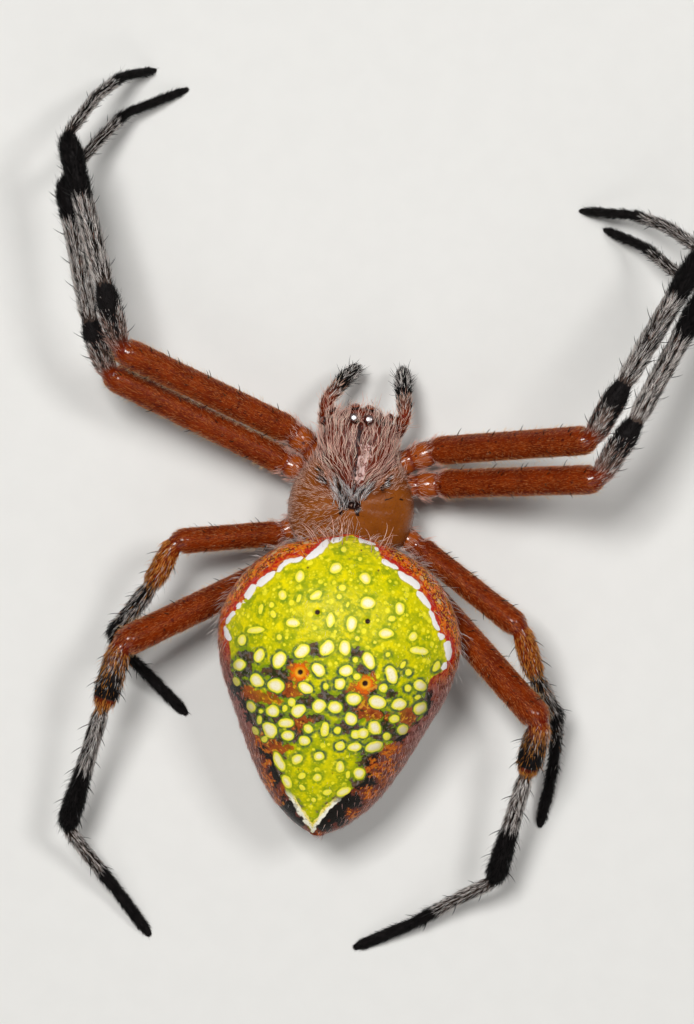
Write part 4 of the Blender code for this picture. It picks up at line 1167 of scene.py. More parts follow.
def make_abdomen(sizes):
    """Return the shell of the abdomen with its pits and slightly raised spots."""
    upper = np.linspace(0, math.pi, 200, endpoint=False)
    lower = np.linspace(math.pi, 2 * math.pi, 100, endpoint=False)
    turns = np.concatenate((upper, lower))
    x, front = ABDOMEN_FRONT
    coat = sizes.abdomen_coat
    rings = np.array([section(x, front - back, width - coat, top - coat, middle, bottom + coat,
                              ABDOMEN_BULGE, turns)
                      for back, width, top, middle, bottom in refine(ABDOMEN_ROWS, 26)])
    shell = Shell(round_ends(rings, 0.1, 8))
    mark_abdomen(shell)
    marks = shell.marks
    relief = 0.012 * (1 - ease(-0.1, 0.03, marks["spot"])) - 0.07 * (1 - ease(-0.09, 0.1, marks["pit"]))
    relief = relief + 0.014 * (1 - ease(-0.1, 0.02, marks["white"]))
    across, behind = shell.points[..., 0] - x, marks["behind"]
    folds = np.sin(behind * 9 + np.sin(across * 1.7) * 1.2) * np.sin(shell.points[..., 2] * 3.1 + behind * 0.6)
    shell.push(relief + 0.01 * folds * ease(0.0, 0.8, marks["edge"]))
    return shell


def abdomen_coat(shell, sizes, colours):
    """Return the hair of the abdomen, lying on the flanks and long over the front."""
    hair = Strands(shell, sizes, 23)
    behind = shell.marks["behind"]
    x = shell.points[..., 0]
    out, ahead, up = np.moveaxis(shell.normals, -1, 0)
    outside = ease(0.05, 0.35, shell.marks["edge"])
    flanks = outside * (0.25 + 0.75 * ease(3.0, 7.0, behind)) * (1 - 0.9 * shell.marks["dark"])
    shell.comb = vectors(x * 0.1, -1.0, -0.15)
    hair.sow(flanks * 44, colours.hair_flank, 0.36, 0.0068, 13, 3, 0.3)
    hair.sow((1 - outside) * ease(0.0, 0.3, up) * 2.2, colours.hair_pale, 0.2, 0.0045, 35, 2)
    front = (1 - ease(0.2, 1.6, behind)) * ease(-0.7, 0.0, up)
    shell.comb = vectors(x * 0.28, 1.0, 0.1)
    hair.sow(front * 6, colours.hair_flank, 0.46, 0.006, 46, 4)
    margin = bell(behind - 0.3, 0.2) * ease(-0.1, 0.3, up)
    shell.comb = vectors(x * 0.3, 1.0, 0.1)
    hair.sow(margin * 6.5, colours.hair_head, 1.15, 0.015, 56, 9, 0.08, stray=20, bend=1.2)
    rim = bell(up, 0.35) * (1 - ease(3.0, 6.5, behind))
    shell.comb = vectors(out, ahead * 0.3 - 0.5, 0.3)
    hair.sow(rim * 9, colours.hair_pale, 0.68, 0.0065, 44, 4)
    return hair


def make_tube(path, radii, sides=20, steps=8, reach=0.06, up=(0.0, 0.0, 1.0)):
    """Return the shell of a short smooth tube through a few places."""
    dense = refine(np.column_stack((path, radii)), steps)
    places = dense[:, :3]
    rings = rings_along(places, unit(np.gradient(places, axis=0)), dense[:, 3], sides, up)
    return Shell(round_ends(rings, reach, 5))


def palp_profile(joints):
    """Return the radius of a palp at its key places."""
    _, arm, knee, tip, end = joints
    full = PALP_RADIUS - 0.03
    shape = ((0.0, 0.85), (arm - 0.05, 0.9), (arm + 0.02, 0.78), (arm + 0.14, 0.92),
             (arm + (knee - arm) * 0.5, 1.0), (knee - 0.16, 1.02), (knee - 0.02, 0.84), (knee + 0.14, 1.0),
             (knee + (tip - knee) * 0.45, 1.02), (tip - 0.1, 0.96), (tip, 0.8), (tip + 0.12, 0.98),
             (tip + (end - tip) * 0.5, 0.98), (end - 0.25, 0.82), (end - 0.08, 0.55), (end, 0.28))
    return [(place, full * scale) for place, scale in shape]


def make_palp(side):
    """Return the limb of one palp with its bands."""
    joints = [np.array(PALP_ROOT) * (SIDES[side], 1, 1), *map(np.array, PALPS[side])]
    limb = Limb(joints, PALP_BEND, 0.05, 26, palp_profile, 1.2)
    knee, tip, end = limb.joints[2:]
    pale, dark = limb.bands((
        (0.0, 0.0, 0.0), (knee, 0.1, 0.05), (knee + 0.3, 0.3, 0.2), (tip - 0.25, 0.2, 0.4),
        (tip - 0.08, 0.03, 0.97), (tip + 0.14, 0.05, 0.95), (tip + 0.3, 0.48, 0.52), (end, 0.45, 0.55)))
    stripe = np.sin(np.arange(26) / 26 * 2 * math.pi * 6)[None]
    shift = stripe * np.minimum(pale, dark) * 0.9
    limb.shell.mark(pale=pale - shift, dark=dark + shift, joint=limb.near_joints(0.07),
                    root=(1 - ease(0.2, 0.6, limb.travel))[:, None])
    return limb


def palp_coat(limb, sizes, colours, seed):
    """Return the hair of one palp: short hair, stripes on the tarsus and radiating bristles."""
    hair = Strands(limb.shell, sizes, seed)
    tip = limb.joints[3]
    far = ease(tip - 0.5, tip + 0.1, limb.travel)[:, None]
    row, col = hair.draw(90 + 210 * far)
    hair.grow(row, col, 0.34, 0.013, 26, 3, band_tints(hair, row, col, colours, colours.hair_warm))
    bristles = ease(tip - 0.2, tip + 0.3, limb.travel)[:, None]
    hair.sow(bristles * 15, colours.hair_black, 0.6, 0.011, 46, 4, 0.3, bend=0.4)
    hair.sow((1 - far) * 5.0, colours.hair_head, 0.55, 0.009, 60, 4, bend=0.4)
    return hair


def eye_ball(centre, way, radius):
    """Return the flat-domed shell of one eye."""
    lifts = np.radians(np.linspace(-60, 88, 26))
    rises = np.sign(lifts) * np.abs(np.sin(lifts)) ** (2 / EYE_BULGE)
    places = centre + np.outer(rises, way) * radius * EYE_FLATNESS
    ways = np.repeat(way[None], len(lifts), axis=0)
    return Shell(rings_along(places, ways, np.cos(lifts) ** (2 / EYE_BULGE) * radius, 32, EYE_UP))


def eye_rim(centre, way, radius):
    """Return the rings of the raised rim round one eye."""
    side = unit(np.cross(way, EYE_UP))
    above = np.cross(side, way)
    around = circle(36)[:, None]
    thick = radius * 0.17
    rings = []
    for turn in np.linspace(0, 2 * math.pi, 17)[:-1]:
        out = radius * 0.99 + thick * math.cos(turn)
        up = thick * 0.9 * math.sin(turn) + 0.03
        rings.append(centre + way * up + out * (np.cos(around) * side + np.sin(around) * above))
    return np.array(rings)


def spinneret_shells():
    """Return the shells of the spinneret group: a low ring and three pairs of cones."""
    place = np.array(SPINNERET_PLACE)
    tilt = math.radians(SPINNERET_TILT)
    down = np.array((0.0, -math.sin(tilt), -math.cos(tilt)))
    back = np.array((0.0, -math.cos(tilt), math.sin(tilt)))
    drum = make_tube([place - down * 0.12, place + down * 0.15, place + down * 0.36], (0.86, 0.92, 0.74), 36,
                     8, 0.06, (0.0, 1.0, 0.0))
    shells = [drum]
    for across, behind, thick, long in SPINNERET_PAIRS:
        for sign in SIDES.values():
            root = place + down * 0.14 - back * behind + np.array((sign * across, 0, 0))
            end = root + unit(down + back * 0.15 * math.copysign(1, -behind)) * long
            path = [root, root + (end - root) * 0.62, root + (end - root) * 0.7, end]
            shells.append(make_tube(path, (thick, thick * 0.84, thick * 0.74, thick * 0.34), 22, 6, 0.04, (0.0, 1.0, 0.0)))
    return shells


class Sheet:
    """A node tree in the making, with short calls for its nodes and links."""

    def __init__(self, tree):
        self.tree = tree

    def node(self, kind, **settings):
        """Add a node and set it up."""
        made = self.tree.nodes.new(kind)
        for key, value in settings.items():
            setattr(made, key, value)
        return made

    def feed(self, socket, value):
        """Link an output to an input, or set the input to a value."""
        if isinstance(value, bpy.types.NodeSocket):
            self.tree.links.new(value, socket)
        elif socket.type == "RGBA":
            socket.default_value = (*value, 1.0)
        else:
            socket.default_value = value

    def wire(self, node, **inputs):
        """Feed inputs of a node by name, with _ for a space, and return its outputs."""
        for key, value in inputs.items():
            self.feed(node.inputs[key.replace("_", " ")], value)
        return node.outputs

    def mark(self, name):
        """Read a mark of the skin."""
        return self.node("ShaderNodeAttribute", attribute_name=name).outputs["Fac"]

    def maths(self, operation, first, second=0.0, clamp=False):
        """Add a Math node."""
        made = self.node("ShaderNodeMath", operation=operation, use_clamp=clamp)
        self.feed(made.inputs[0], first)
        self.feed(made.inputs[1], second)
        return made.outputs[0]

    def times(self, value, *factors):
        """Multiply numbers."""
        for factor in factors:
            value = self.maths("MULTIPLY", value, factor)
        return value

    def plus(self, first, second, clamp=False):
        """Add two numbers."""
        return self.maths("ADD", first, second, clamp)

    def minus(self, first, second):
        """Subtract a number from another."""
        return self.maths("SUBTRACT", first, second)

    def stir(self, value, noise, amount, clamp=False):
        """Make a number uneven with a noise between 0 and 1."""
        return self.plus(value, self.times(self.minus(noise, 0.5), amount), clamp)

    def step(self, value, low, high, start=0.0, end=1.0):
        """Add a smooth step from low to high."""
        made = self.node("ShaderNodeMapRange", interpolation_type="SMOOTHSTEP")
        return self.wire(made, Value=value, From_Min=low, From_Max=high, To_Min=start, To_Max=end)[0]

    def fall(self, value, low, high):
        """Add a smooth step down from 1 at low to 0 at high."""
        return self.step(value, low, high, 1.0, 0.0)

    def mix(self, factor, first, second, blend="MIX"):
        """Add a mix of two colours."""
        made = self.node("ShaderNodeMix", data_type="RGBA", blend_type=blend)
        for index, value in ((0, factor), (6, first), (7, second)):
            self.feed(made.inputs[index], value)
        return made.outputs[2]

    def paint(self, tone, *layers):
        """Lay colours over a tone, each by its mask and, where one is given, its strength."""
        for mask, colour, *strength in layers:
            tone = self.mix(self.times(mask, *strength), tone, colour)
        return tone

    def group(self, name, **inputs):
        """Place a shared effect with its own values."""
        return self.wire(self.node("ShaderNodeGroup", node_tree=bpy.data.node_groups[name]), **inputs)

    def mottle(self, scale, detail):
        """Place soft noise at a scale in millimetres."""
        return self.group("Mottle", Scale=scale, Detail=detail)["Value"]

    def flecks(self, scale, size):
        """Place small round marks at a scale in millimetres."""
        return self.group("Flecks", Scale=scale, Size=size)["Mask"]


def new_group(name, inputs, outputs):
    """Start a shader node group with named sockets and return its sheet, inputs and output node."""
    tree = bpy.data.node_groups.new(name, "ShaderNodeTree")
    for way, sockets in (("INPUT", inputs), ("OUTPUT", outputs)):
        for key, kind in sockets.items():
            tree.interface.new_socket(key, in_out=way, socket_type="NodeSocket" + kind)
    sheet = Sheet(tree)
    return sheet, sheet.node("NodeGroupInput").outputs, sheet.node("NodeGroupOutput")


def build_place_group():
    """Millimetres: the place on the model in millimetres, so that scales read as sizes."""
    sheet, _, out = new_group("Millimetres", {}, {"Place": "Vector"})
    place = sheet.node("ShaderNodeTexCoord").outputs["Object"]
    scaled = sheet.node("ShaderNodeVectorMath", operation="SCALE")
    sheet.wire(out, Place=sheet.wire(scaled, Vector=place, Scale=1 / MM)[0])


def build_noise_group():
    """Mottle: soft noise between 0 and 1 at a scale in millimetres."""
    sheet, given, out = new_group("Mottle", {"Scale": "Float", "Detail": "Float"}, {"Value": "Float"})
    noise = sheet.wire(sheet.node("ShaderNodeTexNoise"), Vector=sheet.group("Millimetres")["Place"],
                       Scale=given["Scale"], Detail=given["Detail"])
    sheet.wire(out, Value=sheet.step(noise["Fac"], 0.3, 0.7))


def build_fleck_group():
    """Flecks: small round marks of a given size, scattered at a scale in millimetres."""
    sheet, given, out = new_group("Flecks", {"Scale": "Float", "Size": "Float"}, {"Mask": "Float"})
    cells = sheet.wire(sheet.node("ShaderNodeTexVoronoi"), Vector=sheet.group("Millimetres")["Place"],
                       Scale=given["Scale"])
    sheet.wire(out, Mask=sheet.fall(cells["Distance"], sheet.times(given["Size"], 0.6), given["Size"]))


def build_cuticle_group():
    """Cuticle: two tones of a smooth hard skin with fine darker grain, and its small relief."""
    sheet, given, out = new_group("Cuticle", {"Colour": "Color", "Deep": "Color", "Grain": "Float"},
                                  {"Colour": "Color", "Roughness": "Float", "Relief": "Float"})
    fine = sheet.mottle(9.0, 4.0)
    grain = sheet.flecks(given["Grain"], 0.3)
    deep = given["Deep"]
    tone = sheet.paint(given["Colour"], (sheet.mottle(1.1, 3.0), deep, 0.65), (grain, deep, 0.6),
                       (fine, deep, 0.3))
    sheet.wire(out, Colour=tone, Roughness=sheet.step(fine, 0.0, 1.0, 0.24, 0.38),
               Relief=sheet.plus(sheet.times(grain, 0.6), fine))


def build_groups():
    """Build the shared effects once."""
    build_place_group()
    build_noise_group()
    build_fleck_group()
    build_cuticle_group()


def new_material(name, roughness=0.4, coat=0.0, specular=0.5):
    """Start a material and return it with its sheet and its Principled shader."""
    material = bpy.data.materials.new(name)
    material.use_nodes = True
    sheet = Sheet(material.node_tree)
    shader = next(node for node in material.node_tree.nodes if node.type == "BSDF_PRINCIPLED")
    sheet.wire(shader, Roughness=roughness, Coat_Weight=coat, Coat_Roughness=0.25,
               Specular_IOR_Level=specular)
    return material, sheet, shader


def add_relief(sheet, shader, height, depth):
    """Give a shader a bump from a height between 0 and 1, depth in millimetres."""
    bump = sheet.wire(sheet.node("ShaderNodeBump"), Distance=depth * MM, Strength=0.6, Height=height)
    sheet.wire(shader, Normal=bump["Normal"])


def leg_material(name, colours):
    """Red cuticle that turns grey-brown and black with the bands, matt where it is black."""
    material, sheet, shader = new_material(name, specular=0.08)
    skin = sheet.group("Cuticle", Colour=colours.leg_red, Deep=colours.leg_deep, Grain=5.0)
    dark = sheet.mark("dark")
    gloss = sheet.mark("gloss")
    cover = sheet.plus(dark, sheet.mark("pale"))
    grey = sheet.mix(sheet.mottle(3.0, 3.0), colours.leg_grey, (0.05, 0.03, 0.022))
    tone = sheet.paint(skin["Colour"], (sheet.mark("root"), colours.coxa, 0.8),
                       (sheet.flecks(2.0, 0.2), (0.06, 0.004, 0.003), 0.85),
                       (sheet.mark("joint"), colours.joint, 0.85),
                       (sheet.step(cover, 0.25, 0.8), grey),
                       (sheet.step(dark, 0.35, 0.75), (0.01, 0.008, 0.008)))
    matt = sheet.plus(skin["Roughness"], sheet.times(cover, 0.3))
    sheet.wire(shader, Base_Color=tone, Roughness=sheet.minus(matt, sheet.times(gloss, 0.16)),
               Coat_Weight=sheet.times(gloss, 0.7), Coat_Roughness=0.12)
    add_relief(sheet, shader, skin["Relief"], 0.012)
    return material


def carapace_material(name, colours):
    """Brown-red cuticle, orange-brown behind, dark in the fovea and the grooves, with dark rings round the eyes and
    painted shade beside them.
    """
    material, sheet, shader = new_material(name, specular=0.2)
    behind = sheet.group("Cuticle", Colour=colours.carapace, Deep=colours.carapace_deep, Grain=7.0)
    front = sheet.group("Cuticle", Colour=colours.head, Deep=colours.head_deep, Grain=8.0)
    pits = sheet.minus(sheet.flecks(4.6, 0.56), sheet.times(sheet.flecks(4.6, 0.32), 0.6))
    ragged = sheet.mottle(5.0, 3.0)
    worn = sheet.step(sheet.stir(sheet.mark("worn"), ragged, 0.8), 0.36, 0.6)
    dark = sheet.step(sheet.stir(sheet.mark("dark"), ragged, 0.45), 0.35, 0.75)
    tone = sheet.paint(behind["Colour"], (sheet.mark("head"), front["Colour"]),
                       (worn, sheet.mix(pits, (0.84, 0.6, 0.56), colours.head), 0.85),
                       (sheet.mark("groove"), colours.head_deep, 0.55),
                       (sheet.mark("below"), colours.head_deep, 0.6), (dark, (0.018, 0.006, 0.005)))
    sheet.wire(shader, Base_Color=tone, Roughness=behind["Roughness"])
    add_relief(sheet, shader, behind["Relief"], 0.01)
    return material


def abdomen_field(sheet, colours, spot, rough):
    """Return the colour inside the border: yellow-green with flecks, green rings, net and orange."""
    grain = sheet.mottle(6.0, 2.0)
    behind, dark, orange, pit = map(sheet.mark, ("behind", "dark", "orange", "pit"))
    yellow = sheet.times(sheet.step(sheet.mottle(0.9, 2.0), -0.28, 0.64),
                         sheet.step(behind, 3.6, 6.6, 1.0, 0.58))
    field = sheet.mix(sheet.stir(yellow, grain, 0.6, True), colours.field_green, colours.field_yellow)
    veins = sheet.step(sheet.mottle(2.2, 2.0), 0.5, 0.95, 0.0, 0.55)
    field = sheet.mix(veins, field, colours.field_halo)
    for scale, size, strength in FIELD_FLECKS:
        field = sheet.paint(field, (sheet.flecks(scale, size * 2.4), colours.field_halo, strength * 0.24),
                            (sheet.flecks(scale, size), colours.fleck, strength))
    halo = sheet.maths("MAXIMUM", sheet.fall(sheet.stir(spot, grain, 0.14), -0.01, 0.2),
                       sheet.step(dark, 0.04, 0.4))
    rear = sheet.times(sheet.step(behind, 4.1, 5.6), sheet.fall(behind, 8.9, 9.9))
    halo = sheet.times(halo, sheet.plus(sheet.times(rear, 0.14), 0.7))
    ring = sheet.times(sheet.step(spot, 0.0, 0.03), sheet.fall(spot, 0.06, 0.18),
                       sheet.plus(sheet.times(rear, 0.8), 0.06), sheet.step(rough, 0.25, 0.7, 0.25, 1.0))
    free = sheet.step(spot, 0.02, 0.09)
    patches = sheet.times(sheet.step(sheet.stir(dark, rough, 0.55), 0.34, 0.66), free)
    net = sheet.paint(colours.net, (sheet.step(rough, 0.2, 0.9), colours.net_brown),
                      (sheet.step(grain, 0.5, 0.9, 0.0, 0.7), colours.net_lilac))
    near_pit = sheet.times(sheet.fall(sheet.stir(pit, grain, 0.3), 0.14, 0.32),
                           sheet.step(orange, 0.5, 0.8), sheet.fall(behind, 6.8, 7.3))
    glow = sheet.times(sheet.step(sheet.stir(orange, rough, 0.55), 0.38, 0.7), free,
                       sheet.plus(near_pit, 0.86, True))
    bright = sheet.mix(sheet.step(pit, 0.02, 0.16), colours.amber, colours.orange)
    warm = sheet.paint(colours.orange_deep, (rough, (0.46, 0.1, 0.014)),
                       (sheet.step(grain, 0.66, 0.95, 0.0, 0.8), colours.amber), (near_pit, bright))
    return sheet.paint(field, (halo, colours.field_halo), (ring, colours.net_ring), (patches, net, 0.92),
                       (glow, warm))


def abdomen_flank(sheet, colours, edge, rough, fine):
    """Return the colour outside the border: red line, orange mottled band, pink-brown rear flanks."""
    behind = sheet.mark("behind")
    front = sheet.fall(behind, 4.2, 6.4)
    blots = sheet.mottle(2.6, 3.0)
    band = sheet.paint((0.29, 0.012, 0.004), (sheet.step(blots, 0.38, 0.62), colours.orange),
                       (sheet.step(rough, 0.55, 0.8, 0.0, 0.9), (0.12, 0.012, 0.006)),
                       (sheet.step(fine, 0.55, 0.85, 0.0, 0.9), colours.amber),
                       (sheet.flecks(1.6, 0.26), (0.78, 0.55, 0.26), 0.75))
    rusty = sheet.mix(sheet.step(rough, 0.25, 0.75), (0.085, 0.014, 0.006), (0.4, 0.09, 0.012))
    patches = sheet.step(sheet.stir(sheet.mark("dark"), rough, 0.55), 0.46, 0.7)
    orange = sheet.step(sheet.times(sheet.mark("orange"), sheet.plus(rough, 0.4)), 0.36, 0.72)
    spots = sheet.paint((0.21, 0.026, 0.009), (sheet.step(rough, 0.35, 0.85), (0.66, 0.15, 0.012)),
                        (sheet.step(fine, 0.7, 0.98, 0.0, 0.7), colours.amber))
    red = sheet.times(sheet.fall(edge, 0.18, 0.46), front, sheet.step(blots, 0.55, 0.8, 0.95, 0.35))
    belly = sheet.mix(rough, (0.055, 0.03, 0.02), (0.13, 0.065, 0.04))
    return sheet.paint(colours.flank, (sheet.step(rough, 0.3, 0.7), colours.flank_deep),
                       (sheet.step(sheet.mottle(1.5, 3.0), 0.62, 0.95), colours.orange_deep),
                       (sheet.times(front, sheet.step(edge, 0.9, 2.2, 1.0, 0.15)), band),
                       (sheet.step(behind, 7.8, 9.6, 0.0, 0.75), rusty), (patches, colours.net),
                       (orange, spots, 0.85), (red, colours.red_line), (sheet.mark("under"), belly))


def abdomen_material(name, colours):
    """Yellow-green field with cream spots, a dark net, orange pits, white border and mottled flanks."""
    material, sheet, shader = new_material(name, specular=0.09)
    rough = sheet.mottle(4.2, 3.0)
    fine = sheet.mottle(11.0, 3.0)
    cells = sheet.mottle(6.0, 1.0)
    spot = sheet.stir(sheet.mark("spot"), sheet.mottle(2.2, 1.0), 0.055)
    edge = sheet.stir(sheet.mark("edge"), rough, 0.035)
    white = sheet.stir(sheet.mark("white"), rough, 0.035)
    behind = sheet.mark("behind")
    width = sheet.stir(sheet.maths("ABSOLUTE", sheet.plus(edge, 0.12)), sheet.mottle(2.8, 1.0), 0.1)
    tail = sheet.times(sheet.fall(width, 0.1, 0.15), sheet.mark("tail"),
                       sheet.step(cells, 0.05, 0.3, 0.6, 1.0))
    lit = sheet.plus(sheet.step(edge, -0.22, -0.04), sheet.times(cells, 0.35))
    dull = sheet.times(sheet.step(edge, -0.55, -0.05), sheet.step(behind, 5.2, 6.0),
                       sheet.fall(behind, 8.6, 9.3))
    cream = sheet.paint(colours.spot_edge, (sheet.fall(spot, -0.18, -0.03), colours.spot, sheet.mark("cream")),
                        (dull, (0.3, 0.24, 0.12), 0.45),
                        (sheet.step(fine, 0.55, 0.95, 0.0, 0.3), (0.86, 0.62, 0.3)))
    tone = sheet.paint(abdomen_field(sheet, colours, spot, rough),
                       (sheet.step(edge, -0.04, 0.04), abdomen_flank(sheet, colours, edge, rough, fine)),
                       (sheet.fall(white, 0.0, 0.07), colours.border_rim, 0.18),
                       (sheet.fall(white, -0.03, 0.01), colours.border),
                       (tail, sheet.mix(lit, (1.0, 0.78, 0.04), (1.0, 0.96, 0.78))),
                       (sheet.fall(spot, -0.03, 0.02), cream),
                       (sheet.fall(sheet.mark("pit"), -0.05, 0.02), (0.03, 0.01, 0.008)))
    sheet.wire(shader, Base_Color=tone, Roughness=sheet.step(fine, 0.0, 1.0, 0.26, 0.4))
    add_relief(sheet, shader, sheet.plus(fine, rough), 0.01)
    return material


def plain_cuticle(name, colour, deep, coat=0.2, specular=0.4):
    """A hard brown cuticle for small parts."""
    material, sheet, shader = new_material(name, coat=coat, specular=specular)
    skin = sheet.group("Cuticle", Colour=colour, Deep=deep, Grain=8.0)
    sheet.wire(shader, Base_Color=skin["Colour"], Roughness=skin["Roughness"])
    add_relief(sheet, shader, skin["Relief"], 0.008)
    return material


def eye_material(name, deep, bright, coat):
    """A dark lens with a hard, bright shine."""
    material, sheet, shader = new_material(name, 0.25, coat)
    sheet.wire(shader, Coat_Roughness=0.32, Coat_IOR=2.5,
               Base_Color=sheet.mix(sheet.mottle(4.0, 1.0), deep, bright))
    return material


def hair_material(name, gloss, shine=0.07):
    """Hair: its own tint, darker at the root and lighter towards the tip."""
    material, sheet, shader = new_material(name, gloss, specular=shine)
    tint = sheet.node("ShaderNodeAttribute", attribute_name="tint").outputs["Color"]
    light = sheet.times(sheet.step(sheet.mark("tip"), 0.0, 0.5, 0.52, 1.0),
                        sheet.step(sheet.mottle(9.0, 2.0), 0.0, 1.0, 0.86, 1.05))
    grey = sheet.wire(sheet.node("ShaderNodeCombineColor"), Red=light, Green=light, Blue=light)
    sheet.wire(shader, Base_Color=sheet.mix(1.0, tint, grey[0], "MULTIPLY"))
    return material


def floor_material(name, colours):
    """Plain pale matt floor with a barely visible grain."""
    material, sheet, shader = new_material(name, 0.85, specular=0.2)
    shade = [part * 0.985 for part in colours.floor]
    sheet.wire(shader, Base_Color=sheet.mix(sheet.mottle(0.8, 4.0), colours.floor, shade))
    return material


def shared(name, maker, *given):
    """Return a material, made on its first use."""
    return bpy.data.materials.get(name) or maker(name, *given)


def coat_hair():
    """Return the material of the lying hair."""
    return shared("coat_hair", hair_material, 0.45)


def mouth_cuticle(colours):
    """Return the material of the mouth parts, the pedicel and the spinnerets."""
    return shared("mouth_cuticle", plain_cuticle, colours.mouth, colours.mouth_deep)


def claw_horn():
    """Return the material of the claws and fangs."""
    return shared("claw_horn", plain_cuticle, (0.03, 0.008, 0.006), (0.008, 0.004, 0.004), 0.6)


def size_prop(name, description, default):
    """A size or factor that a user may change."""
    return bpy.props.FloatProperty(name=name, description=description, default=default, min=0.0, max=10.0)


def colour_prop(name, description, default):
    """A colour that a user may change."""
    return bpy.props.FloatVectorProperty(name=name, description=description, default=default, size=3,
                                         min=0.0, max=1.0, subtype="COLOR")


class SpiderSizes(bpy.types.PropertyGroup):
    """Sizes of the coat in millimetres and factors on it."""

    coat_length: size_prop("Hair length", "Factor on the length of all hair", 1.0)
    coat_thickness: size_prop("Hair thickness", "Factor on the thickness of the coat", 1.0)
    coat_density: size_prop("Hair density", "Factor on the number of hairs", 1.0)
    head_coat: size_prop("Head coat", "Depth of the coat on the head in millimetres", 0.06)
    abdomen_coat: size_prop("Abdomen coat", "Depth of the coat on the abdomen in millimetres", 0.03)
    spine_length: size_prop("Spine length", "Factor on the length of the spines", 1.0)
    spine_thickness: size_prop("Spine thickness", "Half thickness of a spine in millimetres", 0.022)
    camera_height: bpy.props.FloatProperty(name="Camera height", description="Height of the camera above the floor",
                                           default=0.222, min=0.05, subtype="DISTANCE", unit="LENGTH")


class SpiderColours(bpy.types.PropertyGroup):
    """Colours of the skins, the coat and the stage."""

    leg_red: colour_prop("Leg red", "Cuticle of the femora", (0.225, 0.028, 0.002))
    leg_deep: colour_prop("Leg shade", "Darker tone of the femora", (0.085, 0.007, 0.002))
    coxa: colour_prop("Leg roots", "Coxae and trochanters", (0.36, 0.076, 0.008))
    joint: colour_prop("Joints", "Rims of the joints", (0.12, 0.006, 0.003))
    leg_grey: colour_prop("Leg grey", "Skin under the white hair", (0.12, 0.085, 0.07))
    carapace: colour_prop("Carapace", "Bare rear of the carapace", (0.3, 0.082, 0.009))
    carapace_deep: colour_prop("Carapace shade", "Darker tone of the carapace", (0.19, 0.044, 0.005))
    head: colour_prop("Head", "Skin under the hair of the head", (0.17, 0.026, 0.009))
    head_deep: colour_prop("Head shade", "Darker tone of the head", (0.08, 0.01, 0.004))
    field_yellow: colour_prop("Field yellow", "Yellow of the back", (0.92, 0.77, 0.002))
    field_green: colour_prop("Field green", "Green of the back", (0.6, 0.59, 0.002))
    field_halo: colour_prop("Spot ring", "Green round the cream spots", (0.17, 0.28, 0.006))
    spot: colour_prop("Spots", "Middle of the cream spots", (1.0, 0.92, 0.64))
    spot_edge: colour_prop("Spot edge", "Edge of the cream spots", (0.96, 0.86, 0.04))
    net: colour_prop("Net", "Dark net between the rear spots", (0.014, 0.012, 0.01))
    net_ring: colour_prop("Net rings", "Blue-green rim of the rear spots", (0.042, 0.085, 0.06))
    net_lilac: colour_prop("Net lilac", "Grey-lilac parts of the net", (0.16, 0.125, 0.14))
    amber: colour_prop("Amber", "Yellow-orange flecks of the flanks and pits", (0.86, 0.38, 0.012))
    fleck: colour_prop("Flecks", "Small yellow flecks of the field", (1.0, 0.88, 0.03))
    net_brown: colour_prop("Net brown", "Brown-purple parts of the net", (0.11, 0.042, 0.036))
    orange: colour_prop("Orange", "Rings round the pits and flecks of the flanks", (0.78, 0.14, 0.005))
    orange_deep: colour_prop("Orange shade", "Brown-red between the orange flecks", (0.25, 0.036, 0.01))
    red_line: colour_prop("Red line", "Line outside the white border", (0.56, 0.016, 0.009))
    border: colour_prop("Border", "White border of the field", (0.95, 0.91, 0.88))
    border_rim: colour_prop("Border rim", "Pink-grey rim of the white border", (0.42, 0.24, 0.22))
    flank: colour_prop("Flank", "Pinkish skin of the flanks", (0.32, 0.11, 0.09))
    flank_deep: colour_prop("Flank shade", "Brown of the flanks", (0.15, 0.032, 0.022))
    mouth: colour_prop("Mouth parts", "Chelicerae, endites and labium", (0.16, 0.034, 0.014))
    mouth_deep: colour_prop("Mouth shade", "Darker tone of the mouth parts", (0.055, 0.01, 0.006))
    hair_warm: colour_prop("Thorax hair", "Short hair of the thorax and palps", (0.86, 0.52, 0.39))
    hair_gold: colour_prop("Golden hair", "Fine hair of the red leg parts", (0.56, 0.14, 0.03))
    hair_rim: colour_prop("Rim hair", "Hair that stands out at the rims of the femora", (0.95, 0.64, 0.38))
    hair_lit: colour_prop("Lit hair", "Lighter fine hair of the femora", (0.64, 0.255, 0.1))
    hair_knee: colour_prop("Knee hair", "Hair of the front knees and tibiae", (0.6, 0.36, 0.29))
    hair_amber: colour_prop("Amber hair", "Hair of the rear knees", (0.82, 0.32, 0.06))
    hair_pale: colour_prop("Pale hair", "White hair of the legs and fringes", (0.92, 0.84, 0.79))
    hair_black: colour_prop("Black hair", "Black hair and spines", (0.006, 0.0055, 0.0055))
    hair_head: colour_prop("Head hair", "Pink-white hair of the head", (1.0, 0.58, 0.47))
    tuft_grey: colour_prop("Tuft", "Grey hair in front of the fovea", (1.0, 0.89, 0.86))
    hair_flank: colour_prop("Flank hair", "Lying hair of the flanks", (0.82, 0.46, 0.4))
    floor: colour_prop("Floor", "Pale floor", (0.8, 0.79, 0.76))


def settings(context):
    """Return the scene's sizes and colours, with the shared effects built once."""
    if "Cuticle" not in bpy.data.node_groups:
        build_groups()
    return context.scene.spider_sizes, context.scene.spider_colours


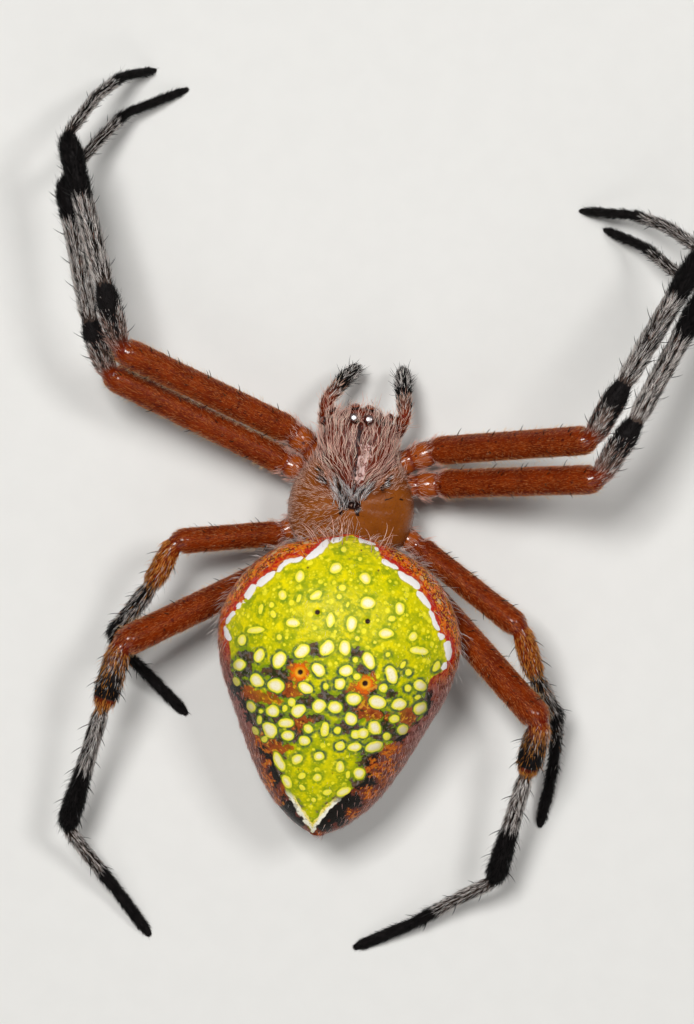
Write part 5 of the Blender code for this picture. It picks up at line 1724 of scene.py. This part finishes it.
class SPIDER_OT_thorax(bpy.types.Operator):
    """Build the skin and coat of the head and thorax, with the mouth parts"""

    bl_idname = "spider.thorax"
    bl_label = "Head and thorax"

    def execute(self, context):
        """Make the skin, its coat and the mouth parts."""
        sizes, colours = settings(context)
        shell = make_thorax(sizes)
        skin = shared("carapace_cuticle", carapace_material, colours)
        piece = skin_piece("prosoma_skin", [shell], skin)
        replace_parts(piece, "cephalothorax")
        hair = shared("head_hair", hair_material, 0.42, 0.35)
        head_coat(shell, sizes, colours).piece("prosoma_coat", hair, "grey_hair")
        parts = [make_tube(np.array(ENDITE) * (sign, 1, 1), ENDITE_RADII, 24) for sign in SIDES.values()]
        parts.append(make_tube(LABIUM, LABIUM_RADII, 24))
        skin_piece("mouth_parts", parts, mouth_cuticle(colours))
        return {"FINISHED"}


class SPIDER_OT_eyes(bpy.types.Operator):
    """Build the eight eyes with their dark rims"""

    bl_idname = "spider.eyes"
    bl_label = "Eyes"

    def execute(self, context):
        """Make a lens and a rim at each eye."""
        settings(context)
        red = shared("eye_glass", eye_material, (0.02, 0.004, 0.003), (0.08, 0.01, 0.005), 1.0)
        amber = shared("eye_amber", eye_material, (0.12, 0.022, 0.008), (0.26, 0.055, 0.016), 0.35)
        brown = shared("eye_mound", plain_cuticle, (0.36, 0.075, 0.02), (0.15, 0.022, 0.007), 0.0, 0.15)
        dark = shared("eye_rim", plain_cuticle, (0.09, 0.012, 0.006), (0.03, 0.004, 0.003), 0.0, 0.15)
        for name, centre, way, radius in eye_places():
            upward = "rear_median" in name
            gaze = unit(way * (0.3, 0.3, 1.0) + np.array((-0.05, 0.05, 0.6))) if upward else way
            ball = eye_ball(centre, gaze, radius)
            lens = red if upward else amber
            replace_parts(skin_piece(name + "_lens", [ball], lens), name)
            rim = brown if "front_median" in name else dark
            ring_piece(name + "_rim", eye_rim(centre, way, radius), rim)
        return {"FINISHED"}


class SPIDER_OT_chelicerae(bpy.types.Operator):
    """Build the chelicerae with their fangs and short hair"""

    bl_idname = "spider.chelicerae"
    bl_label = "Chelicerae"

    def execute(self, context):
        """Make a base segment, a fang and hair on each side."""
        sizes, colours = settings(context)
        mouth = mouth_cuticle(colours)
        turns = circle(36)
        for index, (side, sign) in enumerate(SIDES.items()):
            rings = np.array([vectors(sign * x + across * np.cos(turns), y + along * np.sin(turns), z)
                              for z, x, y, across, along in refine(CHELICERA_ROWS, 7)])
            shell = Shell(round_ends(rings, 0.06, 5))
            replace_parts(skin_piece("chelicera_" + side + "_skin", [shell], mouth),
                        "chelicera_" + side)
            fang = make_tube(np.array(FANG) * (sign, 1, 1), FANG_RADII, 16, 8, 0.01)
            skin_piece("fang_" + side, [fang], claw_horn())
            hair = Strands(shell, sizes, 40 + index)
            hair.sow(ease(-0.2, 0.5, shell.normals[..., 1] + 0.3) * 34, colours.hair_warm, 0.3, 0.008, 38, 3, 0.3)
            hair.piece("chelicera_" + side + "_coat", coat_hair(), "grey_hair")
        return {"FINISHED"}


class SPIDER_OT_palps(bpy.types.Operator):
    """Build both palps with their striped coat"""

    bl_idname = "spider.palps"
    bl_label = "Palps"

    def execute(self, context):
        """Make the skin and the coat of each palp."""
        sizes, colours = settings(context)
        skin = shared("leg_cuticle", leg_material, colours)
        for index, side in enumerate(SIDES):
            limb = make_palp(side)
            palp = Shell(round_ends(limb.shell.points, 0.04, 5))
            for key, values in limb.shell.marks.items():
                palp.marks[key] = np.pad(values, ((5, 5), (0, 0)), mode="edge")
            piece = skin_piece("palp_" + side + "_skin", [palp], skin)
            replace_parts(piece, "palp_" + side + "_arm", "palp_" + side + "_tarsus")
            hair = palp_coat(limb, sizes, colours, 60 + index)
            hair.piece("palp_" + side + "_coat", coat_hair(), "grey_hair")
        return {"FINISHED"}


class SPIDER_OT_abdomen(bpy.types.Operator):
    """Build the abdomen with its marks, pedicel, coat and spinnerets"""

    bl_idname = "spider.abdomen"
    bl_label = "Abdomen"

    def execute(self, context):
        """Make the skin, the coat and the spinnerets."""
        sizes, colours = settings(context)
        shell = make_abdomen(sizes)
        skin = shared("abdomen_cuticle", abdomen_material, colours)
        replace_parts(skin_piece("abdomen_skin", [shell], skin), "abdomen")
        brown = mouth_cuticle(colours)
        parts = [make_tube(PEDICEL, PEDICEL_RADII, 28), make_tube(SCAPE, SCAPE_RADII, up=(1.0, 0.0, 0.0))]
        skin_piece("pedicel_and_scape", parts, brown)
        abdomen_coat(shell, sizes, colours).piece("abdomen_coat", coat_hair(), "grey_hair")
        cones = spinneret_shells()
        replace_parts(skin_piece("spinneret_group", cones, brown), "spinnerets")
        hair = Strands(cones[0], sizes, 31)
        for index, cone in enumerate(cones):
            hair.shell = cone
            hair.part = (index / len(cones), (index + 1) / len(cones))
            hair.sow(26, colours.hair_warm, 0.22, 0.007, 34, 2, 0.3)
        hair.piece("spinneret_coat", coat_hair(), "grey_hair")
        return {"FINISHED"}


class SPIDER_OT_legs(bpy.types.Operator):
    """Build the eight legs with their coat, spines and claws"""

    bl_idname = "spider.legs"
    bl_label = "Legs"

    def execute(self, context):
        """Make the skin, coat, spines and claws of each leg."""
        sizes, colours = settings(context)
        skin = shared("leg_cuticle", leg_material, colours)
        stiff = shared("spine_hair", hair_material, 0.3, 0.3)
        for index, name in enumerate(LEGS):
            limb = make_leg(name)
            piece = skin_piece(name + "_skin", [limb.shell], skin)
            nodes = [name + "_" + segment for segment in SEGMENT_JOINTS if segment != "coxa"]
            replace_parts(piece, *nodes)
            leg_coat(name, limb, sizes, colours, 100 + index).piece(name + "_coat", coat_hair(), "grey_hair")
            leg_spines(limb, sizes, colours, 200 + index).piece(name + "_spines", stiff, "black_hair")
            skin_piece(name + "_claws", claws(limb), claw_horn())
        return {"FINISHED"}


def place_camera(sizes):
    """Put the camera straight above the spider, turned as the picture is."""
    data = bpy.data.cameras.new("camera")
    data.lens = 180.0
    data.sensor_width = 36.0
    data.clip_start = 0.01
    data.clip_end = 10.0
    camera = add_object("camera", data)
    camera.location = ((FOVEA[0] - 0.164) * MM, (FOVEA[1] - 0.586) * MM, sizes.camera_height)
    camera.rotation_euler = (0.0, 0.0, math.radians(6.5))
    bpy.context.scene.camera = camera


def place_light(name, place, size, power):
    """Put a soft square light at a place, aimed at the body."""
    light = bpy.data.lights.new(name, "AREA")
    light.shape = "SQUARE"
    light.size = size
    light.energy = power
    lamp = add_object(name, light)
    lamp.location = place
    aim = np.array((0.0, 0.0, 0.004)) - place
    lamp.rotation_euler = (math.atan2(math.hypot(aim[0], aim[1]), -aim[2]), 0.0, math.atan2(-aim[0], aim[1]))


class SPIDER_OT_stage(bpy.types.Operator):
    """Build the floor, the lights and the camera"""

    bl_idname = "spider.stage"
    bl_label = "Stage"

    def execute(self, context):
        """Make the floor, three soft lights, the world and the camera."""
        sizes, colours = settings(context)
        mesh = bpy.data.meshes.new("floor")
        corners = [(x * FLOOR_HALF, y * FLOOR_HALF, 0) for x, y in ((-1, -1), (1, -1), (1, 1), (-1, 1))]
        mesh.from_pydata(corners, [], [(0, 1, 2, 3)])
        floor = add_object("floor", mesh)
        mesh.materials.append(shared("floor_card", floor_material, colours))
        for light in LIGHTS:
            place_light(*light)
        world = bpy.data.worlds.new("studio")
        world.use_nodes = True
        sky = world.node_tree.nodes["Background"]
        sky.inputs["Color"].default_value = (1.0, 0.99, 0.97, 1.0)
        sky.inputs["Strength"].default_value = 0.045
        bpy.context.scene.world = world
        bpy.context.scene.view_settings.view_transform = "Standard"
        place_camera(sizes)
        return {"FINISHED"}


class SPIDER_PT_panel(bpy.types.Panel):
    """Lists the parts of the spider in the sidebar."""

    bl_idname = "SPIDER_PT_panel"
    bl_label = "Orb-weaving spider"
    bl_space_type = "VIEW_3D"
    bl_region_type = "UI"
    bl_category = "Spider"

    def draw(self, context):
        """Draw a button for each part, then the sizes and the colours."""
        for part in PARTS:
            self.layout.operator(part.bl_idname)
        for group in (context.scene.spider_sizes, context.scene.spider_colours):
            for key in group.__annotations__:
                self.layout.prop(group, key)


PARTS = (SPIDER_OT_thorax, SPIDER_OT_eyes, SPIDER_OT_chelicerae, SPIDER_OT_palps, SPIDER_OT_abdomen,
         SPIDER_OT_legs, SPIDER_OT_stage)
CLASSES = (SpiderSizes, SpiderColours, *PARTS, SPIDER_PT_panel)


def register():
    """Register the classes and hang the settings on the scene."""
    for entry in CLASSES:
        bpy.utils.register_class(entry)
    bpy.types.Scene.spider_sizes = bpy.props.PointerProperty(type=SpiderSizes)
    bpy.types.Scene.spider_colours = bpy.props.PointerProperty(type=SpiderColours)


def unregister():
    """Take the settings and the classes away again."""
    del bpy.types.Scene.spider_colours
    del bpy.types.Scene.spider_sizes
    for entry in reversed(CLASSES):
        bpy.utils.unregister_class(entry)


def main():
    register()
    bpy.ops.spider.thorax()
    bpy.ops.spider.eyes()
    bpy.ops.spider.chelicerae()
    bpy.ops.spider.palps()
    bpy.ops.spider.abdomen()
    bpy.ops.spider.legs()
    bpy.ops.spider.stage()


if __name__ == "__main__":
    main()
